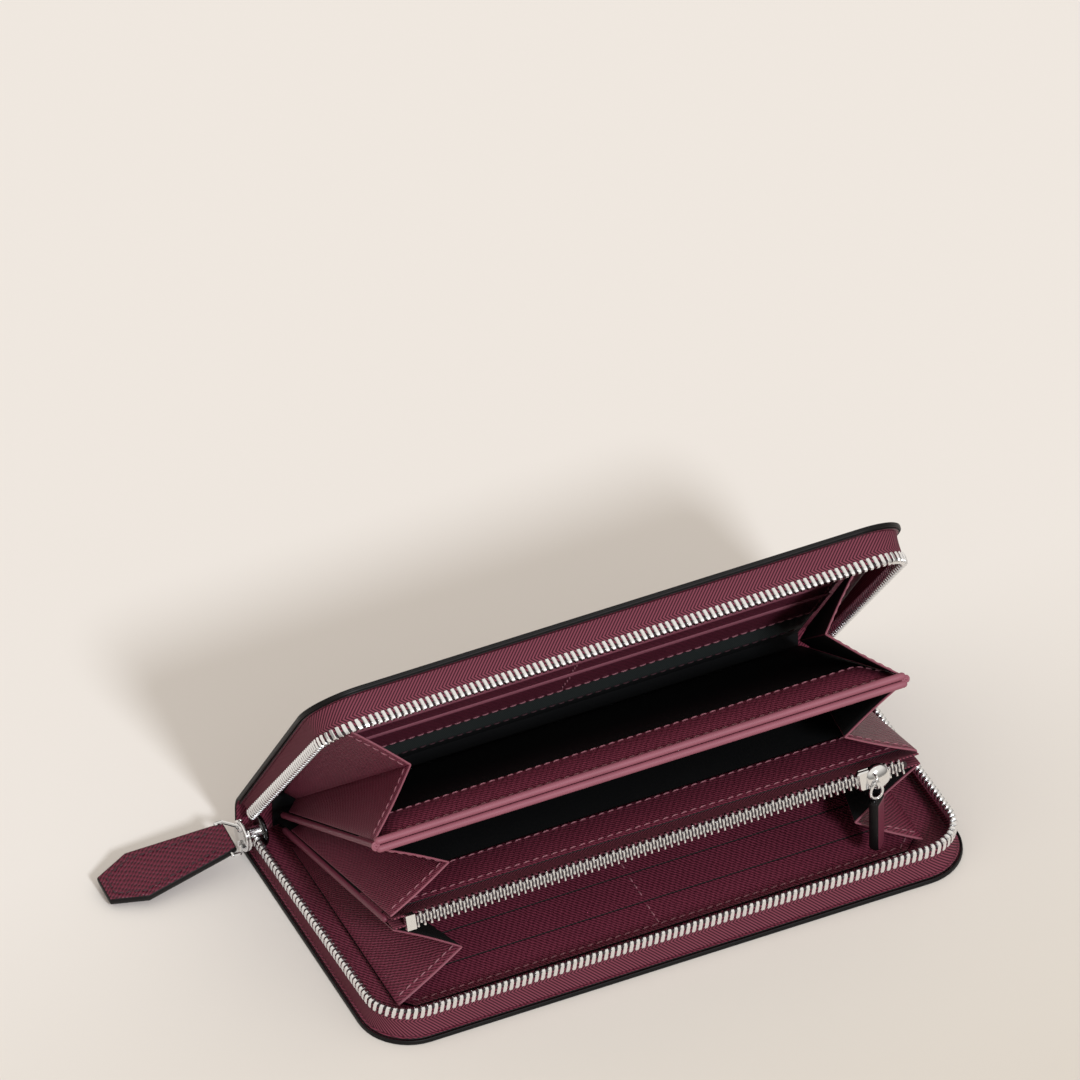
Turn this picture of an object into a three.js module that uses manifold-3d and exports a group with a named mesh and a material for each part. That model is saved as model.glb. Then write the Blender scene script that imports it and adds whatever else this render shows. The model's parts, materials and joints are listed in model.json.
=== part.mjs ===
// Long zip around wallet, lying open on its lower cover.
// Millimetres, +Z up. The origin is the middle of the lower cover's underside;
// +X runs along the zip's long side and +Y towards the spine.
import * as THREE from 'three';
import { mergeVertices } from 'three/addons/utils/BufferGeometryUtils.js';
import Module from 'manifold-3d';

const wasm = await Module();
wasm.setup();

// Overall size
const coverLength = 195;
const coverDepth = 105;
const cornerRadius = 16;
const spineHeight = 13.7;

// How far each leaf stands open, in degrees above the floor
const upperAngle = 57;
const dividerAngle = 33;
const coinAngle = 18.8;
const closedAngle = 5.4;

// Leather and lining thicknesses, and the gap between neighbouring pieces
const gap = 0.3;
const coverLeather = 0.9;
const facingLeather = 0.6;
const facingInset = 0.8;
const cardLeather = 0.4;
const cardGap = 0.22;
const panelLeather = 0.7;
const gussetLeather = 0.3;
const panelGap = 0.2;
const gussetClear = 0.3;
const coinGussetClear = 0.15;

// Zip round the covers
const zipInset = 2.6;
const tapeThickness = 0.8;
const toothRowWidth = 2.4;
const toothRowHeight = 2.2;
const zipStart = 8.1;
const upperZipStart = 2;
const upperCoverStart = 1.6;

// Leaves of the accordion
const leafWidth = coverLength - 23;
const leafPivotY = coverDepth / 2 - 3.5;
const coinPivotZ = spineHeight - 8;
const dividerPivotZ = spineHeight - 4.3;
const leafBack = 1;
const dividerLength = coverDepth - 16;
const lipRadius = 1;
const coinLength = coverDepth - 13.5;
const coinTapeWidth = 8.4;
const coinToothDepth = 2;
const coinToothWidth = 4;
const coinRowLeftMargin = 7;
const coinRowRightMargin = 6;
const coinStopLength = 3;

// Card panels
const cardInset = 13.6;
const cardPitch = 12.3;
const cardWidth = leafWidth - 2;
const cardBack = 14;
const slotBack = 38;
const ribbonBack = 28;
const ribbonWidth = 7;
const spineLining = 0.3;

// Gussets
const gussetX = leafWidth / 2 - 0.5;
const gussetBack = 12;
const gussetBackWidth = 4.5;
const gussetFrontWidths = [25.5, 23.5, 25.5];
const gussetFrontGaps = [3.6, 3.6, 3.6];
const gussetBackGap = 2.9;
const upperGussetEnd = coverDepth - 23;
const dividerGussetEnd = dividerLength - 3;
const coinGussetEnd = coinLength - 3.5;
const lowerGussetEnd = coverDepth - 18;

// Outer slider, bail and pull tab
const sliderY = coverDepth / 2 - 8;
const sliderZ = spineHeight - 5.1;
const sliderRadius = 5;
const sliderPlate = 0.8;
const bailWire = 1.3;
const bailReach = 5.9;
const bailSpread = 12.8;
const bailShoulder = 2.2;
const tabLength = 39;
const tabThickness = 2.6;
const tabDroop = 9.5;

// Coin pocket's slider and pull
const coinSliderX = leafWidth / 2 - 17;
const coinSliderLength = 9;
const coinFlangeDepth = 2.6;
const coinBridgeDepth = 3.9;
const coinBridgeWidth = 1.2;
const coinBridgeHalf = 1.9;
const coinPullForward = coinLength + 3.1;
const linkLength = 7;
const linkWidth = 4.6;
const linkWire = 0.9;
const linkRise = 1.9;
const strapLength = 18.2;
const strapWidth = 4.6;
const strapThickness = 2.8;
const strapTurn = 45;

const radians = THREE.MathUtils.degToRad;
const halfLength = coverLength / 2;
const halfDepth = coverDepth / 2;
const facingTop = coverLeather + gap + facingLeather;
const hingeY = halfDepth - coverLeather;
const hingeZ = spineHeight;
const cardTop = 3 * cardLeather + 2 * cardGap + gap;

const leather = { color: 0x5a1c30, roughness: 0.55, metalness: 0 };
const smoothLeather = { color: 0x6b2a3e, roughness: 0.45, metalness: 0 };
const lining = { color: 0x16161a, roughness: 0.85, metalness: 0 };
const webbing = { color: 0x571a2e, roughness: 0.8, metalness: 0 };
const ribbon = { color: 0x2a302f, roughness: 0.8, metalness: 0 };
const silver = { color: 0xc9cbce, roughness: 0.22, metalness: 1 };

const wallet = new THREE.Group();

function addPiece(parent, name, geometry, finish) {
  const mesh = new THREE.Mesh(geometry, new THREE.MeshStandardMaterial(finish));
  mesh.name = name;
  parent.add(mesh);
  return mesh;
}

// A group that turns about a line across the wallet, with its own -Y pointing along the leaf
function leafGroup(y, z, angle) {
  const group = new THREE.Group();
  group.position.set(0, y, z);
  group.rotation.x = -radians(angle);
  wallet.add(group);
  return group;
}

function bar(width, depth, height, x, y, z) {
  const geometry = new THREE.BoxGeometry(width, depth, height);
  geometry.translate(x, y, z);
  return geometry;
}

// A plate between two forward distances and two heights of a leaf
function plate(width, back, front, low, high) {
  return bar(width, front - back, high - low, 0, -(front + back) / 2, (high + low) / 2);
}

// A side view, drawn forward and up, carried across the wallet
function sweepAcross(profile, width) {
  const geometry = new THREE.ExtrudeGeometry(profile, { depth: width, bevelEnabled: false, curveSegments: 10 });
  const turn = new THREE.Matrix4().makeBasis(
    new THREE.Vector3(0, 1, 0),
    new THREE.Vector3(0, 0, 1),
    new THREE.Vector3(1, 0, 0),
  );
  geometry.applyMatrix4(turn);
  geometry.translate(-width / 2, 0, 0);
  return geometry;
}

// The cover's outline: round corners at the zip side, square at the spine
function coverOutline(inset, back) {
  const right = halfLength - inset;
  const front = halfDepth - inset;
  const radius = cornerRadius - inset;
  const shape = new THREE.Shape();
  shape.moveTo(-right, back);
  shape.lineTo(-right, -front + radius);
  shape.absarc(-right + radius, -front + radius, radius, Math.PI, 1.5 * Math.PI, false);
  shape.lineTo(right - radius, -front);
  shape.absarc(right - radius, -front + radius, radius, 1.5 * Math.PI, 2 * Math.PI, false);
  shape.lineTo(right, back);
  shape.closePath();
  return shape;
}

// A strip of even width standing round three sides of the cover
function zipOutline(centreInset, width, back) {
  const outerRight = halfLength - centreInset + width / 2;
  const outerFront = halfDepth - centreInset + width / 2;
  const outerRadius = cornerRadius - centreInset + width / 2;
  const innerRadius = outerRadius - width;
  const arcX = outerRight - outerRadius;
  const arcY = -outerFront + outerRadius;
  const shape = new THREE.Shape();
  shape.moveTo(-outerRight, back);
  shape.lineTo(-outerRight, arcY);
  shape.absarc(-arcX, arcY, outerRadius, Math.PI, 1.5 * Math.PI, false);
  shape.lineTo(arcX, -outerFront);
  shape.absarc(arcX, arcY, outerRadius, 1.5 * Math.PI, 2 * Math.PI, false);
  shape.lineTo(outerRight, back);
  shape.lineTo(outerRight - width, back);
  shape.lineTo(outerRight - width, arcY);
  shape.absarc(arcX, arcY, innerRadius, 2 * Math.PI, 1.5 * Math.PI, true);
  shape.lineTo(-arcX, -outerFront + width);
  shape.absarc(-arcX, arcY, innerRadius, 1.5 * Math.PI, Math.PI, true);
  shape.lineTo(-outerRight + width, back);
  shape.closePath();
  return shape;
}

function flatPiece(outline, low, high) {
  const geometry = new THREE.ExtrudeGeometry(outline, {
    depth: high - low,
    bevelEnabled: false,
    curveSegments: 8,
  });
  geometry.translate(0, 0, low);
  return geometry;
}

// Half the height between the shut covers, at a distance from the spine's top
function zipHeight(distance) {
  const inside = spineHeight - facingTop + distance * Math.tan(radians(closedAngle));
  return (inside - gap) / 2;
}

// A flat piece whose top and bottom follow the zip's height, less a drop for each
function zipPiece(outline, bottomOf, topOf) {
  const geometry = flatPiece(outline, 0, 1);
  const places = geometry.attributes.position;
  for (let i = 0; i < places.count; i += 1) {
    const height = zipHeight(hingeY - places.getY(i));
    places.setZ(i, places.getZ(i) > 0.5 ? topOf(height) : bottomOf(height));
  }
  return geometry;
}

function solidOf(geometry) {
  const bare = geometry.clone();
  bare.deleteAttribute('normal');
  bare.deleteAttribute('uv');
  const merged = mergeVertices(bare, 1e-4);
  const mesh = new wasm.Mesh({
    numProp: 3,
    vertProperties: new Float32Array(merged.attributes.position.array),
    triVerts: new Uint32Array(merged.index.array),
  });
  return new wasm.Manifold(mesh);
}

function geometryOf(solid) {
  const mesh = solid.getMesh();
  const geometry = new THREE.BufferGeometry();
  geometry.setAttribute('position', new THREE.BufferAttribute(new Float32Array(mesh.vertProperties), 3));
  geometry.setIndex(new THREE.BufferAttribute(new Uint32Array(mesh.triVerts), 1));
  geometry.computeVertexNormals();
  return geometry;
}

function joinAll(geometries) {
  return geometryOf(geometries.map(solidOf).reduce((whole, next) => whole.add(next)));
}

// One cover's outer leather and the leather facing on its inside
function addCover(parent, prefix, place) {
  const cover = flatPiece(coverOutline(0, place.back), place.outerLow, place.outerLow + coverLeather);
  const facing = flatPiece(
    coverOutline(facingInset, place.back - facingInset),
    place.facingLow,
    place.facingLow + facingLeather,
  );
  cover.translate(0, place.shift, 0);
  facing.translate(0, place.shift, 0);
  addPiece(parent, `${prefix}_cover`, cover, leather);
  addPiece(parent, `${prefix}_facing`, facing, leather);
}

// Tape and teeth round one cover, built upwards from the facing
function addZip(parent, prefix, back, floorZ, turned) {
  const tapeTop = (height) => floorZ + height - toothRowHeight - gap;
  const rowLow = (height) => floorZ + height - toothRowHeight;
  const rowTop = (height) => floorZ + height;
  const tape = zipPiece(zipOutline(zipInset, tapeThickness, back), () => floorZ + gap, tapeTop);
  const teeth = zipPiece(zipOutline(zipInset, toothRowWidth, back), rowLow, rowTop);
  for (const [name, geometry, finish] of [['tape', tape, webbing], ['teeth', teeth, silver]]) {
    if (turned) {
      geometry.translate(0, -hingeY, 0);
      geometry.rotateY(Math.PI);
    }
    addPiece(parent, `${prefix}_zip_${name}`, geometry, finish);
  }
}

// Three overlapping leather layers that hold the cards; sign says which way is up
function addCardPanel(parent, prefix, front, back, base, sign) {
  const names = ['card_header', 'card_slot_front', 'card_slot_rear'];
  names.forEach((name, layer) => {
    const low = base + sign * layer * (cardLeather + cardGap);
    const high = low + sign * cardLeather;
    const layerFront = front - layer * cardPitch;
    const layerBack = layer === 0 ? back : slotBack;
    const geometry = plate(cardWidth, layerBack, layerFront, Math.min(low, high), Math.max(low, high));
    addPiece(parent, `${prefix}_${name}`, geometry, leather);
  });
}

// The divider's two walls, each ending in a soft rolled lip
function addDivider(parent) {
  const inner = panelGap;
  const outer = inner + panelLeather;
  const lipY = -(dividerLength - lipRadius);
  const lipZ = inner + lipRadius;
  const meet = Math.asin((outer - lipZ) / lipRadius);
  for (const [name, turn] of [['divider_upper_panel', 0], ['divider_lower_panel', Math.PI]]) {
    const profile = new THREE.Shape();
    profile.moveTo(-leafBack, inner);
    profile.lineTo(-leafBack, outer);
    profile.lineTo(lipY + lipRadius * Math.cos(meet), outer);
    profile.absarc(lipY, lipZ, lipRadius, meet, 1.5 * Math.PI, false);
    profile.closePath();
    const geometry = sweepAcross(profile, leafWidth);
    if (turn) {
      geometry.scale(1, 1, -1);
      flipFaces(geometry);
    }
    addPiece(parent, name, geometry, smoothLeather);
  }
}

function flipFaces(geometry) {
  const places = geometry.attributes.position;
  for (let i = 0; i < places.count; i += 3) {
    const a = [places.getX(i + 1), places.getY(i + 1), places.getZ(i + 1)];
    places.setXYZ(i + 1, places.getX(i + 2), places.getY(i + 2), places.getZ(i + 2));
    places.setXYZ(i + 2, ...a);
  }
  geometry.computeVertexNormals();
}

// The zipped coin pocket: two walls, two tapes and the closed row of teeth along the front
function addCoinPocket(parent) {
  const inner = panelGap;
  const outer = inner + panelLeather;
  const toothBack = coinLength - coinToothDepth;
  const tapeFront = toothBack - gap;
  const wallFront = tapeFront - coinTapeWidth;
  const tapeBack = wallFront + gap;
  const tapeHigh = coinToothWidth / 2;
  for (const sign of [1, -1]) {
    const side = sign > 0 ? 'upper' : 'lower';
    const wall = plate(leafWidth, leafBack, wallFront, Math.min(sign * inner, sign * outer),
      Math.max(sign * inner, sign * outer));
    addPiece(parent, `coin_pocket_${side}_panel`, wall, leather);
    const profile = new THREE.Shape();
    profile.moveTo(-tapeBack, sign * inner);
    profile.lineTo(-tapeBack, sign * (inner + 0.5));
    profile.lineTo(-tapeFront, sign * tapeHigh);
    profile.lineTo(-tapeFront, sign * (tapeHigh - 0.5));
    profile.closePath();
    addPiece(parent, `coin_zip_${side}_tape`, sweepAcross(profile, leafWidth), webbing);
  }
  const rowLeft = -leafWidth / 2 + coinRowLeftMargin;
  const rowRight = leafWidth / 2 - coinRowRightMargin;
  const row = bar(rowRight - rowLeft, coinToothDepth, coinToothWidth,
    (rowLeft + rowRight) / 2, -(toothBack + coinLength) / 2, 0);
  addPiece(parent, 'coin_zip_teeth', row, silver);
  const stop = bar(coinStopLength, coinToothDepth + 0.3, coinToothWidth + 0.8,
    rowLeft - gap - coinStopLength / 2, -(toothBack + coinLength) / 2 - 0.1, 0);
  addPiece(parent, 'coin_zip_stop', stop, silver);
}

// A channel that hugs the row of teeth from the front, with a bridge for the pull
function addCoinSlider(parent) {
  const clearance = 0.35;
  const wall = 0.9;
  const innerHalf = coinToothWidth / 2 + clearance;
  const faceBack = coinLength + clearance;
  const plateHeight = 2 * (innerHalf + wall);
  const pieces = [bar(coinSliderLength, wall, plateHeight, 0, -(faceBack + wall / 2), 0)];
  for (const sign of [1, -1]) {
    const flangeY = -(faceBack + wall - coinFlangeDepth / 2);
    pieces.push(bar(coinSliderLength, coinFlangeDepth, wall, 0, flangeY, sign * (innerHalf + wall / 2)));
  }
  const frontFace = faceBack + wall;
  for (const sign of [1, -1]) {
    const legY = -(frontFace + coinBridgeDepth / 2 - 0.1);
    pieces.push(bar(coinBridgeWidth, coinBridgeDepth, 0.9, 0, legY, sign * coinBridgeHalf));
  }
  const barHeight = 2 * coinBridgeHalf + 0.9;
  pieces.push(bar(coinBridgeWidth, 0.7, barHeight, 0, -(frontFace + coinBridgeDepth - 0.1), 0));
  const geometry = joinAll(pieces);
  geometry.translate(coinSliderX, 0, 0);
  addPiece(parent, 'coin_slider', geometry, silver);
}

// A long flat ring standing across, hung on the bridge's lower leg at the origin
function linkRing() {
  const outer = linkWidth / 2;
  const inner = outer - linkWire;
  const low = linkRise - linkLength + outer;
  const high = linkRise - outer;
  const shape = new THREE.Shape();
  shape.moveTo(-outer, low);
  shape.absarc(0, low, outer, Math.PI, 2 * Math.PI, false);
  shape.absarc(0, high, outer, 0, Math.PI, false);
  shape.closePath();
  const hole = new THREE.Path();
  hole.absarc(0, low, inner, 2 * Math.PI, Math.PI, true);
  hole.absarc(0, high, inner, Math.PI, 0, true);
  hole.closePath();
  shape.holes.push(hole);
  const geometry = new THREE.ExtrudeGeometry(shape, { depth: linkWire, bevelEnabled: false, curveSegments: 12 });
  geometry.translate(0, 0, -linkWire / 2);
  geometry.rotateX(Math.PI / 2);
  return geometry;
}

// The coin pocket's pull hangs straight down from the slider's bridge
function addCoinPull() {
  const pull = new THREE.Group();
  pull.position.copy(onLeaf(coinLeaf, coinSliderX, coinPullForward, -coinBridgeHalf));
  wallet.add(pull);
  addPiece(pull, 'coin_pull_link', linkRing(), silver);
  const strap = new THREE.BoxGeometry(strapThickness, strapWidth, strapLength);
  strap.rotateZ(-radians(strapTurn));
  strap.translate(0, 0, linkRise - linkLength - gap - strapLength / 2);
  addPiece(pull, 'coin_pull_strap', strap, leather);
}

// A leaf's line of turning and its angle, for points given in its own directions
const upperLeaf = { y: hingeY, z: hingeZ, angle: upperAngle };
const dividerLeaf = { y: leafPivotY, z: dividerPivotZ, angle: dividerAngle };
const coinLeaf = { y: leafPivotY, z: coinPivotZ, angle: coinAngle };
const lowerLeaf = { y: leafPivotY, z: facingTop, angle: 0 };

function onLeaf(leaf, x, forward, height) {
  const turn = radians(leaf.angle);
  const y = leaf.y - forward * Math.cos(turn) + height * Math.sin(turn);
  const z = leaf.z + forward * Math.sin(turn) + height * Math.cos(turn);
  return new THREE.Vector3(x, y, z);
}

// A thin four-cornered panel of leather between two edges
function thinPanel(corners, thickness) {
  const [a, b, c, d] = corners;
  const along = new THREE.Vector3().subVectors(b, a);
  const across = new THREE.Vector3().subVectors(c, a);
  const normal = new THREE.Vector3().crossVectors(along, across).normalize().multiplyScalar(thickness / 2);
  const top = corners.map((point) => point.clone().add(normal));
  const bottom = corners.map((point) => point.clone().sub(normal));
  const quads = [
    [top[0], top[1], top[2], top[3]],
    [bottom[3], bottom[2], bottom[1], bottom[0]],
    [bottom[0], bottom[1], top[1], top[0]],
    [bottom[1], bottom[2], top[2], top[1]],
    [bottom[2], bottom[3], top[3], top[2]],
    [bottom[3], bottom[0], top[0], top[3]],
  ];
  const points = [];
  for (const [p, q, r, s] of quads) {
    points.push(p, q, r, p, r, s);
  }
  const geometry = new THREE.BufferGeometry().setFromPoints(points);
  geometry.computeVertexNormals();
  return geometry;
}

// Height of a gusset's hinge line above or below the leaf that it is sewn to
const leafHingeHeight = panelGap + panelLeather + gussetClear + gussetLeather / 2;
const cardHingeHeight = cardTop + gussetClear + gussetLeather / 2;

const coinHingeHeight = coinToothWidth / 2 + coinGussetClear + gussetLeather / 2;

// Each hinge line: its leaf, its height at the back and at the front, and how far forward it runs
const upperEdge = [upperLeaf, -cardHingeHeight, -cardHingeHeight, upperGussetEnd];
const dividerTopEdge = [dividerLeaf, leafHingeHeight, leafHingeHeight, dividerGussetEnd];
const dividerLowEdge = [dividerLeaf, -leafHingeHeight, -leafHingeHeight, dividerGussetEnd];
const coinTopEdge = [coinLeaf, leafHingeHeight, coinHingeHeight, coinGussetEnd];
const coinLowEdge = [coinLeaf, -leafHingeHeight, -coinHingeHeight, coinGussetEnd];
const lowerEdge = [lowerLeaf, cardHingeHeight, cardHingeHeight, lowerGussetEnd];
const gussetEdges = [
  { over: upperEdge, under: dividerTopEdge },
  { over: dividerLowEdge, under: coinTopEdge },
  { over: coinLowEdge, under: lowerEdge },
];

// Where the fold lies: midway between the two hinge lines and inwards by what the width leaves
function foldPoint(first, second, width, side) {
  const middle = new THREE.Vector3().addVectors(first, second).multiplyScalar(0.5);
  const half = first.distanceTo(second) / 2;
  middle.x -= side * Math.sqrt(width * width - half * half);
  return middle;
}

function moveTowards(point, target, distance) {
  return point.clone().add(new THREE.Vector3().subVectors(target, point).setLength(distance));
}

function addGussets() {
  for (const side of [-1, 1]) {
    const sideName = side < 0 ? 'left' : 'right';
    gussetEdges.forEach((edges, index) => {
      const x = side * gussetX;
      const [overLeaf, overBackHeight, overFrontHeight, overFront] = edges.over;
      const [underLeaf, underBackHeight, underFrontHeight, underFront] = edges.under;
      const overBackPoint = onLeaf(overLeaf, x, gussetBack, overBackHeight);
      const overFrontPoint = onLeaf(overLeaf, x, overFront, overFrontHeight);
      const underBackPoint = onLeaf(underLeaf, x, gussetBack, underBackHeight);
      const underFrontPoint = onLeaf(underLeaf, x, underFront, underFrontHeight);
      const foldBack = foldPoint(overBackPoint, underBackPoint, gussetBackWidth, side);
      const foldFront = foldPoint(overFrontPoint, underFrontPoint, gussetFrontWidths[index], side);
      const halves = [
        ['upper', overBackPoint, overFrontPoint],
        ['lower', underBackPoint, underFrontPoint],
      ];
      for (const [half, backPoint, frontPoint] of halves) {
        const corners = [
          backPoint,
          frontPoint,
          moveTowards(foldFront, frontPoint, gussetFrontGaps[index]),
          moveTowards(foldBack, backPoint, gussetBackGap),
        ];
        if ((side < 0) === (half === 'upper')) {
          corners.reverse();
        }
        const name = `${sideName}_gusset_${index + 1}_${half}`;
        addPiece(wallet, name, thinPanel(corners, gussetLeather), leather);
      }
    });
  }
}

// A plain disc standing in the side's plane, centred on the outer slider
function sliderDisc(x) {
  const disc = new THREE.CylinderGeometry(sliderRadius, sliderRadius, sliderPlate, 24);
  disc.rotateZ(Math.PI / 2);
  disc.translate(x, sliderY, sliderZ);
  return disc;
}

// Slider at the end of the outer zip: two plates, the post between them and the bridge outside
function addOuterSlider() {
  const zipX = -(halfLength - zipInset);
  const clear = toothRowWidth / 2 + 0.8;
  const outerX = zipX - clear - sliderPlate / 2;
  const innerX = zipX + clear + sliderPlate / 2;
  const post = bar(innerX - outerX, 1.8, 2.2, zipX, sliderY + 0.7, sliderZ - 2);
  const bridge = bridgeLoop(outerX - sliderPlate / 2);
  addPiece(wallet, 'outer_slider', joinAll([sliderDisc(outerX), sliderDisc(innerX), post, bridge]), silver);
}

// An arch on the slider's face with a hole for the bail's bar
function bridgeLoop(faceX) {
  const holeRadius = bailWire / 2 + gap;
  const outerRadius = holeRadius + 0.8;
  const shape = new THREE.Shape();
  shape.moveTo(faceX + 0.3, sliderY - outerRadius);
  shape.lineTo(faceX + 0.3, sliderY + outerRadius);
  shape.lineTo(bailX(), sliderY + outerRadius);
  shape.absarc(bailX(), sliderY, outerRadius, 0.5 * Math.PI, 1.5 * Math.PI, false);
  shape.closePath();
  const hole = new THREE.Path();
  hole.absarc(bailX(), sliderY, holeRadius, 0, 2 * Math.PI, true);
  shape.holes.push(hole);
  const height = 2.4;
  const geometry = new THREE.ExtrudeGeometry(shape, { depth: height, bevelEnabled: false, curveSegments: 10 });
  geometry.translate(0, 0, sliderZ - height / 2);
  return geometry;
}

function bailX() {
  return -(halfLength - zipInset) - toothRowWidth / 2 - 0.8 - sliderPlate - bailWire / 2 - gap - 0.2;
}

function wire(from, to) {
  const radius = bailWire / 2;
  const length = from.distanceTo(to);
  const geometry = new THREE.CylinderGeometry(radius, radius, length, 10);
  geometry.translate(0, length / 2, 0);
  const turn = new THREE.Quaternion().setFromUnitVectors(
    new THREE.Vector3(0, 1, 0),
    new THREE.Vector3().subVectors(to, from).normalize(),
  );
  geometry.applyQuaternion(turn);
  geometry.translate(from.x, from.y, from.z);
  return geometry;
}

function bead(at) {
  const geometry = new THREE.SphereGeometry(bailWire / 2 * 1.02, 10, 8);
  geometry.translate(at.x, at.y, at.z);
  return geometry;
}

// The bail's bar through the bridge stands upright and its outer bar lies across
const bailHalfHeight = 3.4;
const barTilt = 1;
const bailOuter = new THREE.Vector3(bailX() - bailReach, sliderY, sliderZ + 0.6);

function addBail() {
  const top = new THREE.Vector3(bailX(), sliderY, sliderZ + bailHalfHeight);
  const bottom = new THREE.Vector3(bailX(), sliderY, sliderZ - bailHalfHeight);
  const rear = bailOuter.clone().add(new THREE.Vector3(0, bailSpread / 2, barTilt));
  const front = bailOuter.clone().add(new THREE.Vector3(0, -bailSpread / 2, -barTilt));
  const inwards = new THREE.Vector3(bailShoulder, 0, 0);
  const rearShoulder = rear.clone().add(inwards);
  const frontShoulder = front.clone().add(inwards);
  const corners = [top, rearShoulder, rear, front, frontShoulder, bottom];
  const pieces = corners.map(bead);
  corners.forEach((corner, index) => pieces.push(wire(corner, corners[(index + 1) % corners.length])));
  addPiece(wallet, 'pull_bail', joinAll(pieces), silver);
}

// The pull tab's outline from the bail to its blunt point, half as wide on each side
function tabOutline() {
  const rootHalf = 5.4;
  const shoulderHalf = 8.6;
  const pointHalf = 4.5;
  const shoulder = tabLength - 9;
  const shape = new THREE.Shape();
  shape.moveTo(3, -rootHalf);
  shape.lineTo(3, rootHalf);
  shape.lineTo(-5, rootHalf);
  shape.lineTo(-shoulder, shoulderHalf);
  shape.lineTo(-tabLength, pointHalf);
  shape.lineTo(-tabLength, -pointHalf);
  shape.lineTo(-shoulder, -shoulderHalf);
  shape.lineTo(-5, -rootHalf);
  shape.closePath();
  return shape;
}

// Side view of the tab: a loop round the bail's outer bar and the doubled tongue
function tabSide() {
  const holeRadius = bailWire / 2 + gap;
  const loopRadius = holeRadius + 0.7;
  const half = tabThickness / 2;
  const meet = Math.asin(half / loopRadius);
  const shape = new THREE.Shape();
  shape.moveTo(-tabLength - 1, half);
  shape.lineTo(-tabLength - 1, -half);
  shape.lineTo(-loopRadius * Math.cos(meet), -half);
  shape.absarc(0, 0, loopRadius, Math.PI + meet, 3 * Math.PI - meet, false);
  shape.closePath();
  const hole = new THREE.Path();
  hole.absarc(0, 0, holeRadius, 0, 2 * Math.PI, true);
  shape.holes.push(hole);
  return shape;
}

function addPullTab() {
  const thick = 12;
  const outline = new THREE.ExtrudeGeometry(tabOutline(), { depth: thick, bevelEnabled: false });
  outline.translate(0, 0, -thick / 2);
  const width = 30;
  const side = new THREE.ExtrudeGeometry(tabSide(), { depth: width, bevelEnabled: false, curveSegments: 10 });
  side.translate(0, 0, -width / 2);
  side.rotateX(Math.PI / 2);
  const geometry = geometryOf(solidOf(outline).intersect(solidOf(side)));
  const tilt = new THREE.Group();
  tilt.position.copy(bailOuter);
  tilt.rotation.x = Math.atan2(2 * barTilt, bailSpread);
  wallet.add(tilt);
  const droop = new THREE.Group();
  droop.rotation.y = -radians(tabDroop);
  tilt.add(droop);
  addPiece(droop, 'pull_tab', geometry, leather);
}

// The lower half stays put: cover, zip, card panel and the spine behind them
function addLowerHalf() {
  addCover(wallet, 'lower', {
    shift: 0,
    back: halfDepth,
    outerLow: 0,
    facingLow: coverLeather + gap,
  });
  const spineLow = facingTop + gap;
  const spineHigh = spineHeight - gap;
  const spineMiddle = (spineLow + spineHigh) / 2;
  const spine = bar(coverLength - 2, coverLeather, spineHigh - spineLow, 0, hingeY + coverLeather / 2, spineMiddle);
  const liningY = hingeY - gap - spineLining / 2;
  const inside = bar(leafWidth, spineLining, spineHigh - spineLow, 0, liningY, spineMiddle);
  addPiece(wallet, 'spine_panel', spine, leather);
  addPiece(wallet, 'spine_lining', inside, lining);
  addZip(wallet, 'lower', hingeY - zipStart, facingTop, false);
  const base = new THREE.Group();
  base.position.set(0, halfDepth, 0);
  wallet.add(base);
  addCardPanel(base, 'lower', coverDepth - cardInset, cardBack, facingTop + gap, 1);
}

// The upper half turns on the spine's top edge
function addUpperHalf() {
  const upperHalf = leafGroup(hingeY, hingeZ, upperAngle);
  addCover(upperHalf, 'upper', {
    shift: -hingeY,
    back: hingeY - upperCoverStart,
    outerLow: facingLeather + gap,
    facingLow: 0,
  });
  addZip(upperHalf, 'upper', hingeY - upperZipStart, 0, true);
  addCardPanel(upperHalf, 'upper', hingeY + halfDepth - cardInset, cardBack, -gap, -1);
  const ribbonHigh = -gap - cardLeather - cardGap;
  const strip = plate(cardWidth - 6, ribbonBack, ribbonBack + ribbonWidth, ribbonHigh - 0.25, ribbonHigh);
  addPiece(upperHalf, 'upper_lining_ribbon', strip, ribbon);
}

addLowerHalf();
addUpperHalf();
addDivider(leafGroup(dividerLeaf.y, dividerLeaf.z, dividerLeaf.angle));
const coinPocket = leafGroup(coinLeaf.y, coinLeaf.z, coinLeaf.angle);
addCoinPocket(coinPocket);
addCoinSlider(coinPocket);
addCoinPull();
addGussets();
addOuterSlider();
addBail();
addPullTab();

export default wallet;
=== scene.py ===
import json
import math

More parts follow.
